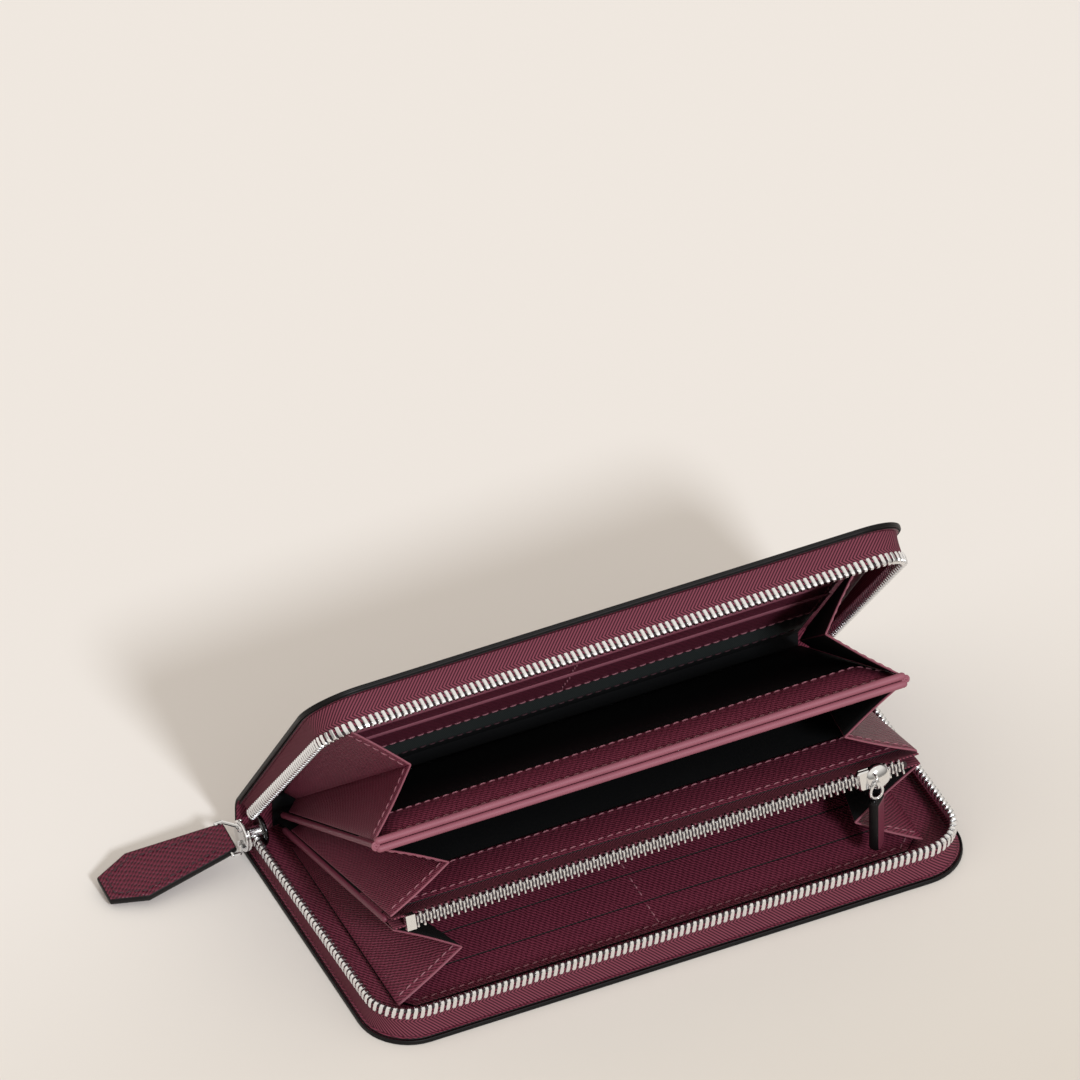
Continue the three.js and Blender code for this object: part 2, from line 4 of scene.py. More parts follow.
import bmesh
import bpy
import numpy as np
from mathutils import Matrix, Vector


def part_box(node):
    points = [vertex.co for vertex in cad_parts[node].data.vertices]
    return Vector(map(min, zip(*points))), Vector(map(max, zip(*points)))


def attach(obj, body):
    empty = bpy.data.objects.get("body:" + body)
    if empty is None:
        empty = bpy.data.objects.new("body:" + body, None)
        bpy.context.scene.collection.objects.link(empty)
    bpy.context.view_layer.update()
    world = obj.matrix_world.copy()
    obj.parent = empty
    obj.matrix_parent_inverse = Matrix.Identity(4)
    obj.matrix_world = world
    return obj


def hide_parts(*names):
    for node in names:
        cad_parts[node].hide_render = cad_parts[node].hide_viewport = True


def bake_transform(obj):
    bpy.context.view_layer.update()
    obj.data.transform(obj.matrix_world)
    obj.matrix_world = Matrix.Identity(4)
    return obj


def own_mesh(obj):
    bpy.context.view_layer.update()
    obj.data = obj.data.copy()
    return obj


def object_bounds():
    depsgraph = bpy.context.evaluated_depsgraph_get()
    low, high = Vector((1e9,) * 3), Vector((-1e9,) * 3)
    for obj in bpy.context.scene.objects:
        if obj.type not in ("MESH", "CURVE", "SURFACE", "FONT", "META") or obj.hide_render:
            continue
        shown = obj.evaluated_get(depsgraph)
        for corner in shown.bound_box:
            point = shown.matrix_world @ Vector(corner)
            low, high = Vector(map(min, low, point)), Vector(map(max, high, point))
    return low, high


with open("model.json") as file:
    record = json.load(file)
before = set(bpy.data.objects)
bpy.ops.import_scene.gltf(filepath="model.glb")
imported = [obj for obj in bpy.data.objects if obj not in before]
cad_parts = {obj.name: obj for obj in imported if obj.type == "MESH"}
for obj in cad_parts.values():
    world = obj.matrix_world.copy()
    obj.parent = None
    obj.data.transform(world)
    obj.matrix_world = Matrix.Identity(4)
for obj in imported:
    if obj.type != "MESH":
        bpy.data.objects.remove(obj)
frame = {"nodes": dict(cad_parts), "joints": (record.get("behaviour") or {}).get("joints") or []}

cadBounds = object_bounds()
joints = {joint["name"]: joint for joint in frame["joints"]}


# The frame's own places, all in millimetres from here on

def cadBox(node):
    low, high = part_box(node)
    return np.array(low) * 1000, np.array(high) * 1000


def pivotOf(name):
    return np.array(joints[name]["pos_m"], float) * 1000


case = {"cornerRadius": 16, "coverThick": 0.9, "facingThick": 0.6, "facingInset": 0.8,
        "lowerFacingBack": 0.6, "upperFacingBack": 1.6}
coverLow, coverHigh = cadBox("lower_cover")
facingLow, facingHigh = cadBox("lower_facing")
halfLength = coverHigh[0]
coverFront, coverBack = coverLow[1], coverHigh[1]
spineInside = pivotOf("upper_cover_hinge")[1]
leafReach = spineInside - coverFront
leafLine = pivotOf("divider_hinge")[1]
leafHalf = cadBox("divider_upper_panel")[1][0]

# Each leaf: where its line of turning stands and how far it leans up from the floor, in degrees
leaves = {
    "upper": (spineInside, pivotOf("upper_cover_hinge")[2], 57),
    "divider": (leafLine, pivotOf("divider_hinge")[2], 33),
    "coin": (leafLine, pivotOf("coin_pocket_hinge")[2], 18.8),
    "floor": (spineInside, facingHigh[2], 0),
    "lower": (leafLine, facingHigh[2], 0),
}
# the case's two halves: the leaf each lies on, its body and which way along the leaf's normal is inside
sides = {"lower": ("floor", "lower_half", 1), "upper": ("upper", "upper_half", -1)}


def onLeaf(leaf, x, forward, height):
    # forward runs out from the hinge line along the leaf, height stands square to it
    y, z, angle = leaves[leaf]
    c, s = math.cos(math.radians(angle)), math.sin(math.radians(angle))
    x, forward, height = np.broadcast_arrays(x, forward, height)
    return np.stack([x, y - forward * c + height * s, z + forward * s + height * c], -1).astype(float)


def leafNormal(leaf):
    angle = math.radians(leaves[leaf][2])
    return np.array([0, math.sin(angle), math.cos(angle)])


def leafOut(leaf):
    angle = math.radians(leaves[leaf][2])
    return np.array([0, -math.cos(angle), math.sin(angle)])


# Meshes from whole arrays

def unit(v):
    return v / np.maximum(np.linalg.norm(v, axis=-1, keepdims=True), 1e-9)


def gridFaces(rows, columns, closeRows=False, closeColumns=False):
    # four neighbours of a rows by columns grid of points, wrapped round where it closes
    i = np.arange(rows if closeRows else rows - 1)
    j = np.arange(columns if closeColumns else columns - 1)
    i, j = [a.ravel() for a in np.meshgrid(i, j, indexing="ij")]
    nextI, nextJ = (i + 1) % rows, (j + 1) % columns
    return np.stack([i * columns + j, nextI * columns + j, nextI * columns + nextJ, i * columns + nextJ], -1)


def slab(centre, normal, thickness, rimSteps=4, bulge=0.6):
    # a grid of points pushed both ways along its normals, and round its border a rim
    # that goes from one side to the other as half a circle
    rows, columns = centre.shape[:2]
    count = rows * columns
    index = np.arange(count).reshape(rows, columns)
    border = np.concatenate([index[0, :-1], index[:-1, -1], index[-1, :0:-1], index[:0:-1, 0]])
    flat, flatNormal = centre.reshape(-1, 3), np.broadcast_to(normal, centre.shape).reshape(-1, 3)
    top, bottom = flat + flatNormal * thickness / 2, flat - flatNormal * thickness / 2
    along = unit(np.roll(flat[border], -1, 0) - np.roll(flat[border], 1, 0))
    out = unit(np.cross(along, flatNormal[border]))
    middle = flat.mean(0)
    out *= np.where(((flat[border] - middle) * out).sum(-1).mean() < 0, -1, 1)
    turn = np.pi * np.arange(1, rimSteps) / rimSteps
    rim = (flat[border][None] + flatNormal[border][None] * np.cos(turn)[:, None, None] * thickness / 2
           + out[None] * np.sin(turn)[:, None, None] * thickness / 2 * bulge)
    around = len(border)
    points = np.concatenate([top, bottom, rim.reshape(-1, 3)])
    rings = np.concatenate([border[None], 2 * count + np.arange((rimSteps - 1) * around).reshape(-1, around),
                            border[None] + count])
    rimFaces = rings.ravel()[gridFaces(rimSteps + 1, around, closeColumns=True)]
    sheet = gridFaces(rows, columns)
    faces = np.concatenate([sheet, sheet[:, ::-1] + count, rimFaces])
    groups = np.repeat([0, 1, 2], [len(sheet), len(sheet), len(rimFaces)])
    uvIndex = np.concatenate([np.arange(count), np.arange(count), np.tile(border, rimSteps - 1)])
    return points, [faces], groups, uvIndex


def framesAlong(path, up, closed=False):
    # a path's own directions at each point: along it, to its side, and over it
    if closed:
        along = unit(np.roll(path, -1, 0) - np.roll(path, 1, 0))
    else:
        along = unit(np.gradient(path, axis=0))
    side = unit(np.cross(along, np.broadcast_to(up, path.shape)))
    return along, side, unit(np.cross(side, along))


def sweep(path, side, over, profile, closed=False):
    # a closed profile of (sideways, over) pairs carried along a path, its ends shut flat
    rings = path[:, None] + side[:, None] * profile[..., 0, None] + over[:, None] * profile[..., 1, None]
    rows, around = rings.shape[:2]
    faces = [gridFaces(rows, around, closeRows=closed, closeColumns=True)]
    if not closed:
        faces.append(np.stack([np.arange(around), (rows - 1) * around + np.arange(around)[::-1]]))
    return rings.reshape(-1, 3), faces


def tube(path, radius, up=(0, 0, 1), sides=12, closed=False, flat=1.0):
    # a round or flattened cord along a path, its open ends rounded off in three steps
    path = np.asarray(path, float)
    along, side, over = framesAlong(path, up, closed)
    scale = np.ones(len(path))
    if not closed:
        tilt = np.radians([80, 55, 28])
        head = path[0] - along[0] * radius * np.sin(tilt)[:, None]
        tail = path[-1] + along[-1] * radius * np.sin(tilt[::-1])[:, None]
        path = np.concatenate([head, path, tail])
        side = np.concatenate([np.repeat(side[:1], 3, 0), side, np.repeat(side[-1:], 3, 0)])
        over = np.concatenate([np.repeat(over[:1], 3, 0), over, np.repeat(over[-1:], 3, 0)])
        scale = np.concatenate([np.cos(tilt), scale, np.cos(tilt[::-1])])
    turn = 2 * np.pi * np.arange(sides) / sides
    ring = np.stack([np.cos(turn), np.sin(turn) * flat], -1) * radius
    return sweep(path, side, over, ring[None] * scale[:, None, None], closed)


def resample(path, places):
    # points of a path at the given distances along it
    steps = np.concatenate([[0], np.cumsum(np.linalg.norm(np.diff(path, axis=0), axis=1))])
    return np.stack([np.interp(places, steps, path[:, k]) for k in range(path.shape[1])], -1), steps[-1]


def spread(path, pitch):
    # evenly spaced centres along a path and its direction at each
    path = np.asarray(path, float)
    length = resample(path, [0])[1]
    count = max(1, int(round(length / pitch)))
    places = (np.arange(count) + 0.5) * length / count
    centres = resample(path, places)[0]
    ahead = resample(path, np.minimum(places + 0.2, length))[0] - resample(path, np.maximum(places - 0.2, 0))[0]
    return centres, unit(ahead), places


def copies(shape, faces, centres, along, side, over):
    # one small shape of (along, side, over) points set down at every centre
    points = (centres[:, None] + along[:, None] * shape[None, :, 0, None]
              + side[:, None] * shape[None, :, 1, None] + over[:, None] * shape[None, :, 2, None])
    shift = np.arange(len(centres))[:, None, None] * len(shape)
    return points.reshape(-1, 3), [(f[None] + shift).reshape(-1, f.shape[1]) for f in faces]


def join(*parts):
    # several (points, faces) pairs as one
    points, faces, start = [], [], 0
    for somePoints, someFaces in parts:
        points.append(somePoints)
        faces += [f + start for f in someFaces]
        start += len(somePoints)
    return np.concatenate(points), faces


def makePiece(name, points, faces, body, materials, groups=None, uv=None, nodes=(), sharp=50):
    # arrays into a mesh in metres, its faces turned outwards and its edges over the sharp angle kept crisp
    mesh = bpy.data.meshes.new(name)
    corners = np.concatenate([f.ravel() for f in faces]).astype(np.int32)
    sizes = np.concatenate([np.full(len(f), f.shape[1]) for f in faces])
    mesh.vertices.add(len(points))
    mesh.vertices.foreach_set("co", (points * 0.001).astype(np.float32).ravel())
    mesh.loops.add(len(corners))
    mesh.loops.foreach_set("vertex_index", corners)
    mesh.polygons.add(len(sizes))
    mesh.polygons.foreach_set("loop_start", np.concatenate([[0], np.cumsum(sizes)[:-1]]).astype(np.int32))
    if groups is not None:
        mesh.polygons.foreach_set("material_index", groups.astype(np.int32))
    mesh.update(calc_edges=True)
    if uv is not None:
        layer = mesh.uv_layers.new(name="millimetres")
        layer.data.foreach_set("uv", uv[corners].astype(np.float32).ravel())
    work = bmesh.new()
    work.from_mesh(mesh)
    bmesh.ops.recalc_face_normals(work, faces=work.faces)
    work.to_mesh(mesh)
    work.free()
    mesh.polygons.foreach_set("use_smooth", np.ones(len(sizes), bool))
    mesh.set_sharp_from_angle(angle=math.radians(sharp))
    for material in materials:
        mesh.materials.append(material)
    piece = bpy.data.objects.new(name, mesh)
    bpy.context.scene.collection.objects.link(piece)
    if body:
        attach(piece, body)
    if nodes:
        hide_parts(*nodes)
    return piece


def makeSlab(name, centre, normal, thickness, uv, body, materials, nodes=(), rimSteps=4, bulge=0.6):
    points, faces, groups, uvIndex = slab(centre, normal, thickness, rimSteps, bulge)
    return makePiece(name, points, faces, body, materials, groups, uv.reshape(-1, 2)[uvIndex], nodes)


# Materials

def linear(hexColour):
    # an sRGB hex colour as the linear numbers that a shader takes
    parts = [int(hexColour[i:i + 2], 16) / 255 for i in (1, 3, 5)]
    return tuple(c / 12.92 if c <= 0.04045 else ((c + 0.055) / 1.055) ** 2.4 for c in parts) + (1,)


def addNode(tree, kind, inputs=None, feeds=None, **settings):
    # one node with its settings; an input given a socket is linked, any other is set,
    # and its first output goes to the socket that it feeds
    made = tree.nodes.new(kind)
    for key, value in settings.items():
        setattr(made, key, value)
    for key, value in (inputs or {}).items():
        if isinstance(value, bpy.types.NodeSocket):
            tree.links.new(value, made.inputs[key])
        else:
            made.inputs[key].default_value = value
    if feeds is not None:
        tree.links.new(made.outputs[0], feeds)
    return made


def startMaterial(name, **values):
    material = bpy.data.materials.new(name)
    material.use_nodes = True
    tree = material.node_tree
    tree.nodes.clear()
    inputs = {key.replace("_", " "): value for key, value in values.items()}
    shader = addNode(tree, "ShaderNodeBsdfPrincipled", inputs)
    addNode(tree, "ShaderNodeOutputMaterial", {"Surface": shader.outputs[0]})
    return material, tree, shader


def waveScale(pitch):
    # a band wave repeats every 2 pi / 20 of its input over its scale
    return 2 * math.pi / 20 / pitch


# Calf leather stamped under heat with a fine cross grain and sealed: short slanting ribs, whose crowns are coloured
# lighter as a painted highlight and whose grooves are coloured darker as painted shade, satin all over
def crossGrain(name, crown, groove, pitch, turn, depth, roughness, cross=0.32):
    material, tree, shader = startMaterial(name, Roughness=roughness, IOR=1.5, Specular_IOR_Level=0.3)
    place = addNode(tree, "ShaderNodeUVMap", uv_map="millimetres").outputs[0]
    ribs = []
    for angle, repeat in ((turn, pitch), (turn - 72, pitch * 1.6)):
        turned = addNode(tree, "ShaderNodeMapping", {"Vector": place, "Rotation": (0, 0, math.radians(angle))})
        wave = addNode(tree, "ShaderNodeTexWave",
                       {"Vector": turned.outputs[0], "Scale": waveScale(repeat), "Distortion": 3.0,
                        "Detail": 2.0, "Detail Scale": 0.9, "Detail Roughness": 0.6}, bands_direction="X")
        ribs.append(wave.outputs["Fac"])
    second = addNode(tree, "ShaderNodeMath", {0: ribs[1], 1: cross}, operation="MULTIPLY")
    height = addNode(tree, "ShaderNodeMath", {0: ribs[0], 1: second.outputs[0]}, operation="ADD")
    patches = addNode(tree, "ShaderNodeTexNoise", {"Vector": place, "Scale": 0.05, "Detail": 3.0})
    tone = addNode(tree, "ShaderNodeMapRange", {"Value": height.outputs[0], "From Max": 1 + cross * 0.8,
                                                "To Min": 0.0, "To Max": 1.0})
    # the colour follows the grain's height: the lighter crowns are a painted highlight and the darker grooves painted
    # shade; the grain pattern itself is real
    ramp = addNode(tree, "ShaderNodeValToRGB", {"Fac": tone.outputs[0]})
    ramp.color_ramp.elements[0].color = linear(groove)
    ramp.color_ramp.elements[0].position = 0.1
    ramp.color_ramp.elements[1].color = linear(crown)
    ramp.color_ramp.elements[1].position = 0.75
    shade = addNode(tree, "ShaderNodeMapRange", {"Value": patches.outputs[0], "To Min": 0.88, "To Max": 1.1})
    addNode(tree, "ShaderNodeHueSaturation", {"Color": ramp.outputs[0], "Value": shade.outputs[0]},
            shader.inputs["Base Color"])
    addNode(tree, "ShaderNodeBump", {"Height": height.outputs[0], "Strength": 0.8, "Distance": depth * 0.001},
            shader.inputs["Normal"])
    return material


# Calf leather turned over an edge and pressed: nearly smooth; a paler colour given for turned edges is a painted
# highlight along the fold
def smoothLeather(name, colour, roughness):
    material, tree, shader = startMaterial(name, Roughness=roughness, IOR=1.5, Specular_IOR_Level=0.45)
    place = addNode(tree, "ShaderNodeTexCoord").outputs["Object"]
    grain = addNode(tree, "ShaderNodeTexVoronoi", {"Vector": place, "Scale": 1 / 0.0009})
    tone = addNode(tree, "ShaderNodeTexNoise", {"Vector": place, "Scale": 60.0, "Detail": 4.0})
    shade = addNode(tree, "ShaderNodeMapRange", {"Value": tone.outputs[0], "To Min": 0.82, "To Max": 1.14})
    addNode(tree, "ShaderNodeHueSaturation", {"Color": linear(colour), "Value": shade.outputs[0]},
            shader.inputs["Base Color"])
    addNode(tree, "ShaderNodeBump", {"Height": grain.outputs[0], "Strength": 0.4, "Distance": 0.00006},
            shader.inputs["Normal"])
    return material


# Acrylic edge paint brushed on a cut edge and heated smooth: black, a little glossy, slightly wavy
def edgePaint():
    material, tree, shader = startMaterial("edge_paint_brushed_black", Roughness=0.45, IOR=1.48, Specular_IOR_Level=0.2)
    place = addNode(tree, "ShaderNodeTexCoord").outputs["Object"]
    waves = addNode(tree, "ShaderNodeTexNoise", {"Vector": place, "Scale": 420.0, "Detail": 3.0})
    ramp = addNode(tree, "ShaderNodeValToRGB", {"Fac": waves.outputs[0]}, shader.inputs["Base Color"])
    ramp.color_ramp.elements[0].color = linear("#070606")
    ramp.color_ramp.elements[1].color = linear("#120f10")
    addNode(tree, "ShaderNodeBump", {"Height": waves.outputs[0], "Strength": 0.3, "Distance": 0.00008},
            shader.inputs["Normal"])
    return material


# Plain woven polyester lining: black threads about 0.35 mm apart, drawn a little coarser so they show
def wovenLining(name, colour):
    material, tree, shader = startMaterial(name, Roughness=0.9, IOR=1.5, Specular_IOR_Level=0.15)
    place = addNode(tree, "ShaderNodeTexCoord").outputs["Object"]
    threads = [addNode(tree, "ShaderNodeTexWave", {"Vector": place, "Scale": waveScale(0.0005), "Distortion": 0.6},
                       bands_direction=axis).outputs["Fac"] for axis in ("X", "Y")]
    weave = addNode(tree, "ShaderNodeMath", {0: threads[0], 1: threads[1]}, operation="MULTIPLY")
    folds = addNode(tree, "ShaderNodeTexNoise", {"Vector": place, "Scale": 35.0, "Detail": 3.0})
    shade = addNode(tree, "ShaderNodeMapRange", {"Value": folds.outputs[0], "To Min": 0.7, "To Max": 1.35})
    addNode(tree, "ShaderNodeHueSaturation", {"Color": linear(colour), "Value": shade.outputs[0]},
            shader.inputs["Base Color"])
    addNode(tree, "ShaderNodeBump", {"Height": weave.outputs[0], "Strength": 0.5, "Distance": 0.0001},
            shader.inputs["Normal"])
    return material


# Polyester zip tape woven in a herringbone twill: fine ribs slant one way and then the other
def twillTape():
    material, tree, shader = startMaterial("zip_tape_woven_twill", Roughness=0.8, IOR=1.5, Specular_IOR_Level=0.2)
    place = addNode(tree, "ShaderNodeUVMap", uv_map="millimetres").outputs[0]
    parts = addNode(tree, "ShaderNodeSeparateXYZ", {"Vector": place})
    zigzag = addNode(tree, "ShaderNodeMath", {0: parts.outputs["Y"], 1: 5.6}, operation="PINGPONG")
    slant = addNode(tree, "ShaderNodeMath", {0: parts.outputs["X"], 1: zigzag.outputs[0]}, operation="ADD")
    line = addNode(tree, "ShaderNodeCombineXYZ", {"X": slant.outputs[0]})
    wave = addNode(tree, "ShaderNodeTexWave", {"Vector": line.outputs[0], "Scale": waveScale(1.15)},
                   bands_direction="X")
    ramp = addNode(tree, "ShaderNodeValToRGB", {"Fac": wave.outputs["Fac"]}, shader.inputs["Base Color"])
    ramp.color_ramp.elements[0].color = linear("#2f0d18")
    ramp.color_ramp.elements[1].color = linear("#81404f")
    addNode(tree, "ShaderNodeBump", {"Height": wave.outputs["Fac"], "Strength": 0.6, "Distance": 0.00012},
            shader.inputs["Normal"])
    return material


# Grosgrain ribbon, woven with thick weft: ribs 0.8 mm apart run across it, dull grey-green
def grosgrain():
    material, tree, shader = startMaterial("ribbon_grosgrain_woven", Roughness=0.8, IOR=1.5)
    place = addNode(tree, "ShaderNodeUVMap", uv_map="millimetres").outputs[0]
    wave = addNode(tree, "ShaderNodeTexWave", {"Vector": place, "Scale": waveScale(0.8)}, bands_direction="X")
    ramp = addNode(tree, "ShaderNodeValToRGB", {"Fac": wave.outputs["Fac"]}, shader.inputs["Base Color"])
    ramp.color_ramp.elements[0].color = linear("#1c2221")
    ramp.color_ramp.elements[1].color = linear("#343b39")
    addNode(tree, "ShaderNodeBump", {"Height": wave.outputs["Fac"], "Strength": 0.6, "Distance": 0.0001},
            shader.inputs["Normal"])
    return material


# Waxed polyester thread, three strands twisted: the twist shows as slanting bands 0.5 mm apart
def waxedThread(name, colour):
    material, tree, shader = startMaterial(name, Roughness=0.6, IOR=1.5)
    place = addNode(tree, "ShaderNodeTexCoord").outputs["Object"]
    turned = addNode(tree, "ShaderNodeMapping", {"Vector": place, "Rotation": (0.6, 0.5, 0.8)})
    wave = addNode(tree, "ShaderNodeTexWave", {"Vector": turned.outputs[0], "Scale": waveScale(0.0005)})
    shade = addNode(tree, "ShaderNodeMapRange", {"Value": wave.outputs["Fac"], "To Min": 0.75, "To Max": 1.1})
    addNode(tree, "ShaderNodeHueSaturation", {"Color": linear(colour), "Value": shade.outputs[0]},
            shader.inputs["Base Color"])
    return material


# Zinc and brass fittings, nickel plated and tumbled or polished: neutral silver, or near black where that colour stands
# for a painted dark reflection; faint scuffs vary the gloss
def nickelPlate(name, colour, low, high):
    material, tree, shader = startMaterial(name, Metallic=1.0)
    shader.inputs["Base Color"].default_value = linear(colour)
    place = addNode(tree, "ShaderNodeTexCoord").outputs["Object"]
    scuffs = addNode(tree, "ShaderNodeTexNoise", {"Vector": place, "Scale": 900.0, "Detail": 3.0})
    addNode(tree, "ShaderNodeMapRange", {"Value": scuffs.outputs[0], "To Min": low, "To Max": high},
            shader.inputs["Roughness"])
    addNode(tree, "ShaderNodeBump", {"Height": scuffs.outputs[0], "Strength": 0.15, "Distance": 0.00003},
            shader.inputs["Normal"])
    return material


# Studio paper, matt and pale: very slightly uneven in tone, and darker towards the front as painted shade
def studioPaper():
    material, tree, shader = startMaterial("studio_paper_matt", Roughness=0.9, Specular_IOR_Level=0.2)
    place = addNode(tree, "ShaderNodeTexCoord").outputs["Object"]
    tone = addNode(tree, "ShaderNodeTexNoise", {"Vector": place, "Scale": 2.5, "Detail": 2.0})
    parts = addNode(tree, "ShaderNodeSeparateXYZ", {"Vector": place})
    # darker towards the front: painted shade across the floor
    depth = addNode(tree, "ShaderNodeMapRange", {"Value": parts.outputs["Y"], "From Min": -0.16, "From Max": 0.08})
    uneven = addNode(tree, "ShaderNodeMath", {0: tone.outputs[0], 1: 0.12}, operation="MULTIPLY")
    level = addNode(tree, "ShaderNodeMath", {0: depth.outputs[0], 1: uneven.outputs[0]}, operation="ADD")
    ramp = addNode(tree, "ShaderNodeValToRGB", {"Fac": level.outputs[0]}, shader.inputs["Base Color"])
    ramp.color_ramp.elements[0].color = linear("#d5cdc3")
    ramp.color_ramp.elements[1].color = linear("#e5dfda")
    return material


leather = crossGrain("calf_leather_stamped_cross_grain", "#661f33", "#320a18", 1.0, 38, 0.24, 0.44, 0.8)
panelLeather = crossGrain("calf_leather_cross_grain_panels", "#7c3548", "#41131f", 1.0, 38, 0.2, 0.44)
# pale pink for turned and rolled edges: a painted highlight along the folds
foldHighlightLeather = smoothLeather("calf_leather_turned_edge", "#8d4f5d", 0.55)
deepLeather = smoothLeather("calf_leather_rolled_edge", "#6c2e3f", 0.45)
paint = edgePaint()
lining = wovenLining("lining_plain_woven_black", "#161617")
tapeCloth = twillTape()
ribbonCloth = grosgrain()
thread = waxedThread("thread_waxed_rose", "#99606b")
darkThread = waxedThread("thread_waxed_dark", "#3d1c25")
darkCloth = smoothLeather("zip_bead_cloth_dark", "#2f2024", 0.7)
zipMetal = nickelPlate("brass_zip_nickel_plated", "#f2f2f3", 0.14, 0.26)
brightMetal = nickelPlate("zinc_casting_nickel_polished", "#eeeeef", 0.06, 0.16)
# near black: a painted dark reflection on the slider's inner plate, not a black plating
darkReflectionMetal = nickelPlate("steel_plate_black_nickel", "#3a3a3c", 0.08, 0.18)
print("materials made")


# Stitches: each is a short thick thread that dips into its two holes

stitchShape = {"pitch": 3.0, "length": 2.2, "thick": 0.5, "slant": 7}


def stitchRun(path, normal, pitch=None, lift=0.1):
    # a bent bead of six sides: its height is a flat arch, its thickness swells in the middle
    pitch = pitch or stitchShape["pitch"]
    length = stitchShape["length"] * pitch / 3.0
    centres, along = spread(path, pitch)[:2]
    over = np.broadcast_to(unit(np.asarray(normal, float)), centres.shape)
    side = unit(np.cross(over, along))
    lean = math.radians(stitchShape["slant"])
    along, side = along * math.cos(lean) + side * math.sin(lean), side * math.cos(lean) - along * math.sin(lean)
    at = np.array([-0.5, -0.42, -0.2, 0.2, 0.42, 0.5])
    swell = np.array([0.35, 0.8, 1.0, 1.0, 0.8, 0.35]) * stitchShape["thick"] / 2
    rise = np.array([-0.16, -0.04, 0.06, 0.06, -0.04, -0.16]) + lift
    turn = 2 * np.pi * np.arange(6) / 6
    shape = np.stack([np.repeat(at * length, 6),
                      (swell[:, None] * np.cos(turn)).ravel(),
                      (swell[:, None] * np.sin(turn) * 0.8 + rise[:, None]).ravel()], -1)
    faces = [gridFaces(6, 6, closeColumns=True), np.array([[0, 1, 2, 3, 4, 5], [35, 34, 33, 32, 31, 30]])]
    return copies(shape, faces, centres, along, side, over)


# The case: one skin of leather over both covers and the spine

caseSkin = {"columns": 30, "cornerRows": 12, "footBend": 3.0, "spineTop": 12.4, "overBend": 1.25, "leafStart": 4.5}


def cornerRows(count):
    # the quarter turn of a rounded corner: how far it has come forward and how much narrower it is
    turn = np.linspace(0, np.pi / 2, count)
    return np.sin(turn), np.cos(turn)


def makeCaseSkin():
    # a flat strip bent in side view: along the floor, up the spine and out along the upper leaf;
    # its half width follows the rounded corners at both ends
    r, mid = case["cornerRadius"], case["coverThick"] / 2
    sine, cosine = cornerRows(caseSkin["cornerRows"])
    frontY = coverFront + r - r * sine[::-1]
    frontHalf = halfLength - r + r * cosine[::-1]
    bend = caseSkin["footBend"]
    spineMid = coverBack - mid
    straightY = np.linspace(coverFront + r, spineMid - bend, 22)[1:]
    turn = np.linspace(-np.pi / 2, 0, 7)[1:]
    bendY, bendZ = spineMid - bend + bend * np.cos(turn), mid + bend + bend * np.sin(turn)
    spineZ = np.linspace(mid + bend, caseSkin["spineTop"], 5)[1:]
    h = case["coverThick"] + mid
    leafEnd = onLeaf("upper", 0, caseSkin["leafStart"], h)
    corner = onLeaf("upper", 0, caseSkin["overBend"], h)
    t = np.linspace(0, 1, 9)[1:, None]
    start = np.array([0, spineMid, caseSkin["spineTop"]])
    turnOver = start * (1 - t) ** 2 + corner * 2 * t * (1 - t) + leafEnd * t ** 2
    forward = np.concatenate([np.linspace(caseSkin["leafStart"], leafReach - r, 20)[1:],
                              leafReach - r + r * sine[1:]])
    leafHalfs = np.concatenate([np.full(19, halfLength), halfLength - r + r * cosine[1:]])
    leafPath = onLeaf("upper", 0, forward, h)
    y = np.concatenate([frontY, straightY, bendY, np.full(len(spineZ), spineMid), turnOver[:, 1], leafPath[:, 1]])
    z = np.concatenate([np.full(len(frontY) + len(straightY), mid), bendZ, spineZ, turnOver[:, 2], leafPath[:, 2]])
    level = len(straightY) + len(bendY) + len(spineZ) + len(turnOver)
    half = np.concatenate([frontHalf, np.full(level, halfLength), leafHalfs])
    across = np.linspace(-1, 1, caseSkin["columns"])
    path = np.stack([np.zeros_like(y), y, z], -1)
    along = unit(np.gradient(path, axis=0))
    normal = np.stack([np.zeros_like(y), along[:, 2], -along[:, 1]], -1)
    x = half[:, None] * across
    centre = np.stack([x, np.broadcast_to(y[:, None], x.shape), np.broadcast_to(z[:, None], x.shape)], -1)
    length = np.concatenate([[0], np.cumsum(np.linalg.norm(np.diff(path, axis=0), axis=1))])
    uv = np.stack([x, np.broadcast_to(length[:, None], x.shape)], -1)
    normals = np.broadcast_to(normal[:, None], centre.shape)
    return makeSlab("case_skin", centre, normals, case["coverThick"], uv, None,
                    [leather, panelLeather, paint], ("lower_cover", "spine_panel", "upper_cover"))


def cornerSheet(back, front, half, radius, columns=26, rows=16):
    # rows of a sheet with two rounded front corners, as (across, forward) pairs
    sine, cosine = cornerRows(10)
    forward = np.concatenate([np.linspace(back, front - radius, rows), front - radius + radius * sine[1:]])
    halfs = np.concatenate([np.full(rows, half), half - radius + radius * cosine[1:]])
    x = halfs[:, None] * np.linspace(-1, 1, columns)
    return x, np.broadcast_to(forward[:, None], x.shape)


def flatSheet(back, front, half, columns, rows):
    # a plain rectangle of (across, forward) places
    return np.meshgrid(np.linspace(-half, half, columns), np.linspace(back, front, rows), indexing="ij")


def leafSheet(name, leaf, x, forward, height, thickness, body, materials, nodes=()):
    # a sheet of (across, forward) places laid at a height on a leaf
    centre = onLeaf(leaf, x, forward, height)
    normals = np.broadcast_to(leafNormal(leaf), centre.shape)
    return makeSlab(name, centre, normals, thickness, np.stack([x, forward], -1), body, materials, nodes)


def makeFacing(side, leaf, body, inward):
    inset = case["facingInset"]
    x, forward = cornerSheet(case[side + "FacingBack"], leafReach - inset, halfLength - inset,
                             case["cornerRadius"] - inset)
    leafSheet(side + "_facing_leather", leaf, x, forward, -inward * case["facingThick"] / 2, case["facingThick"], body,
              [panelLeather, panelLeather, paint], (side + "_facing",))


edgeBead = {"half": 0.34, "high": 0.64, "inset": 0.1, "lowerMiddle": -0.85, "upperMiddle": 0.95,
            "lowerStart": 3.4, "upperStart": 5.0}


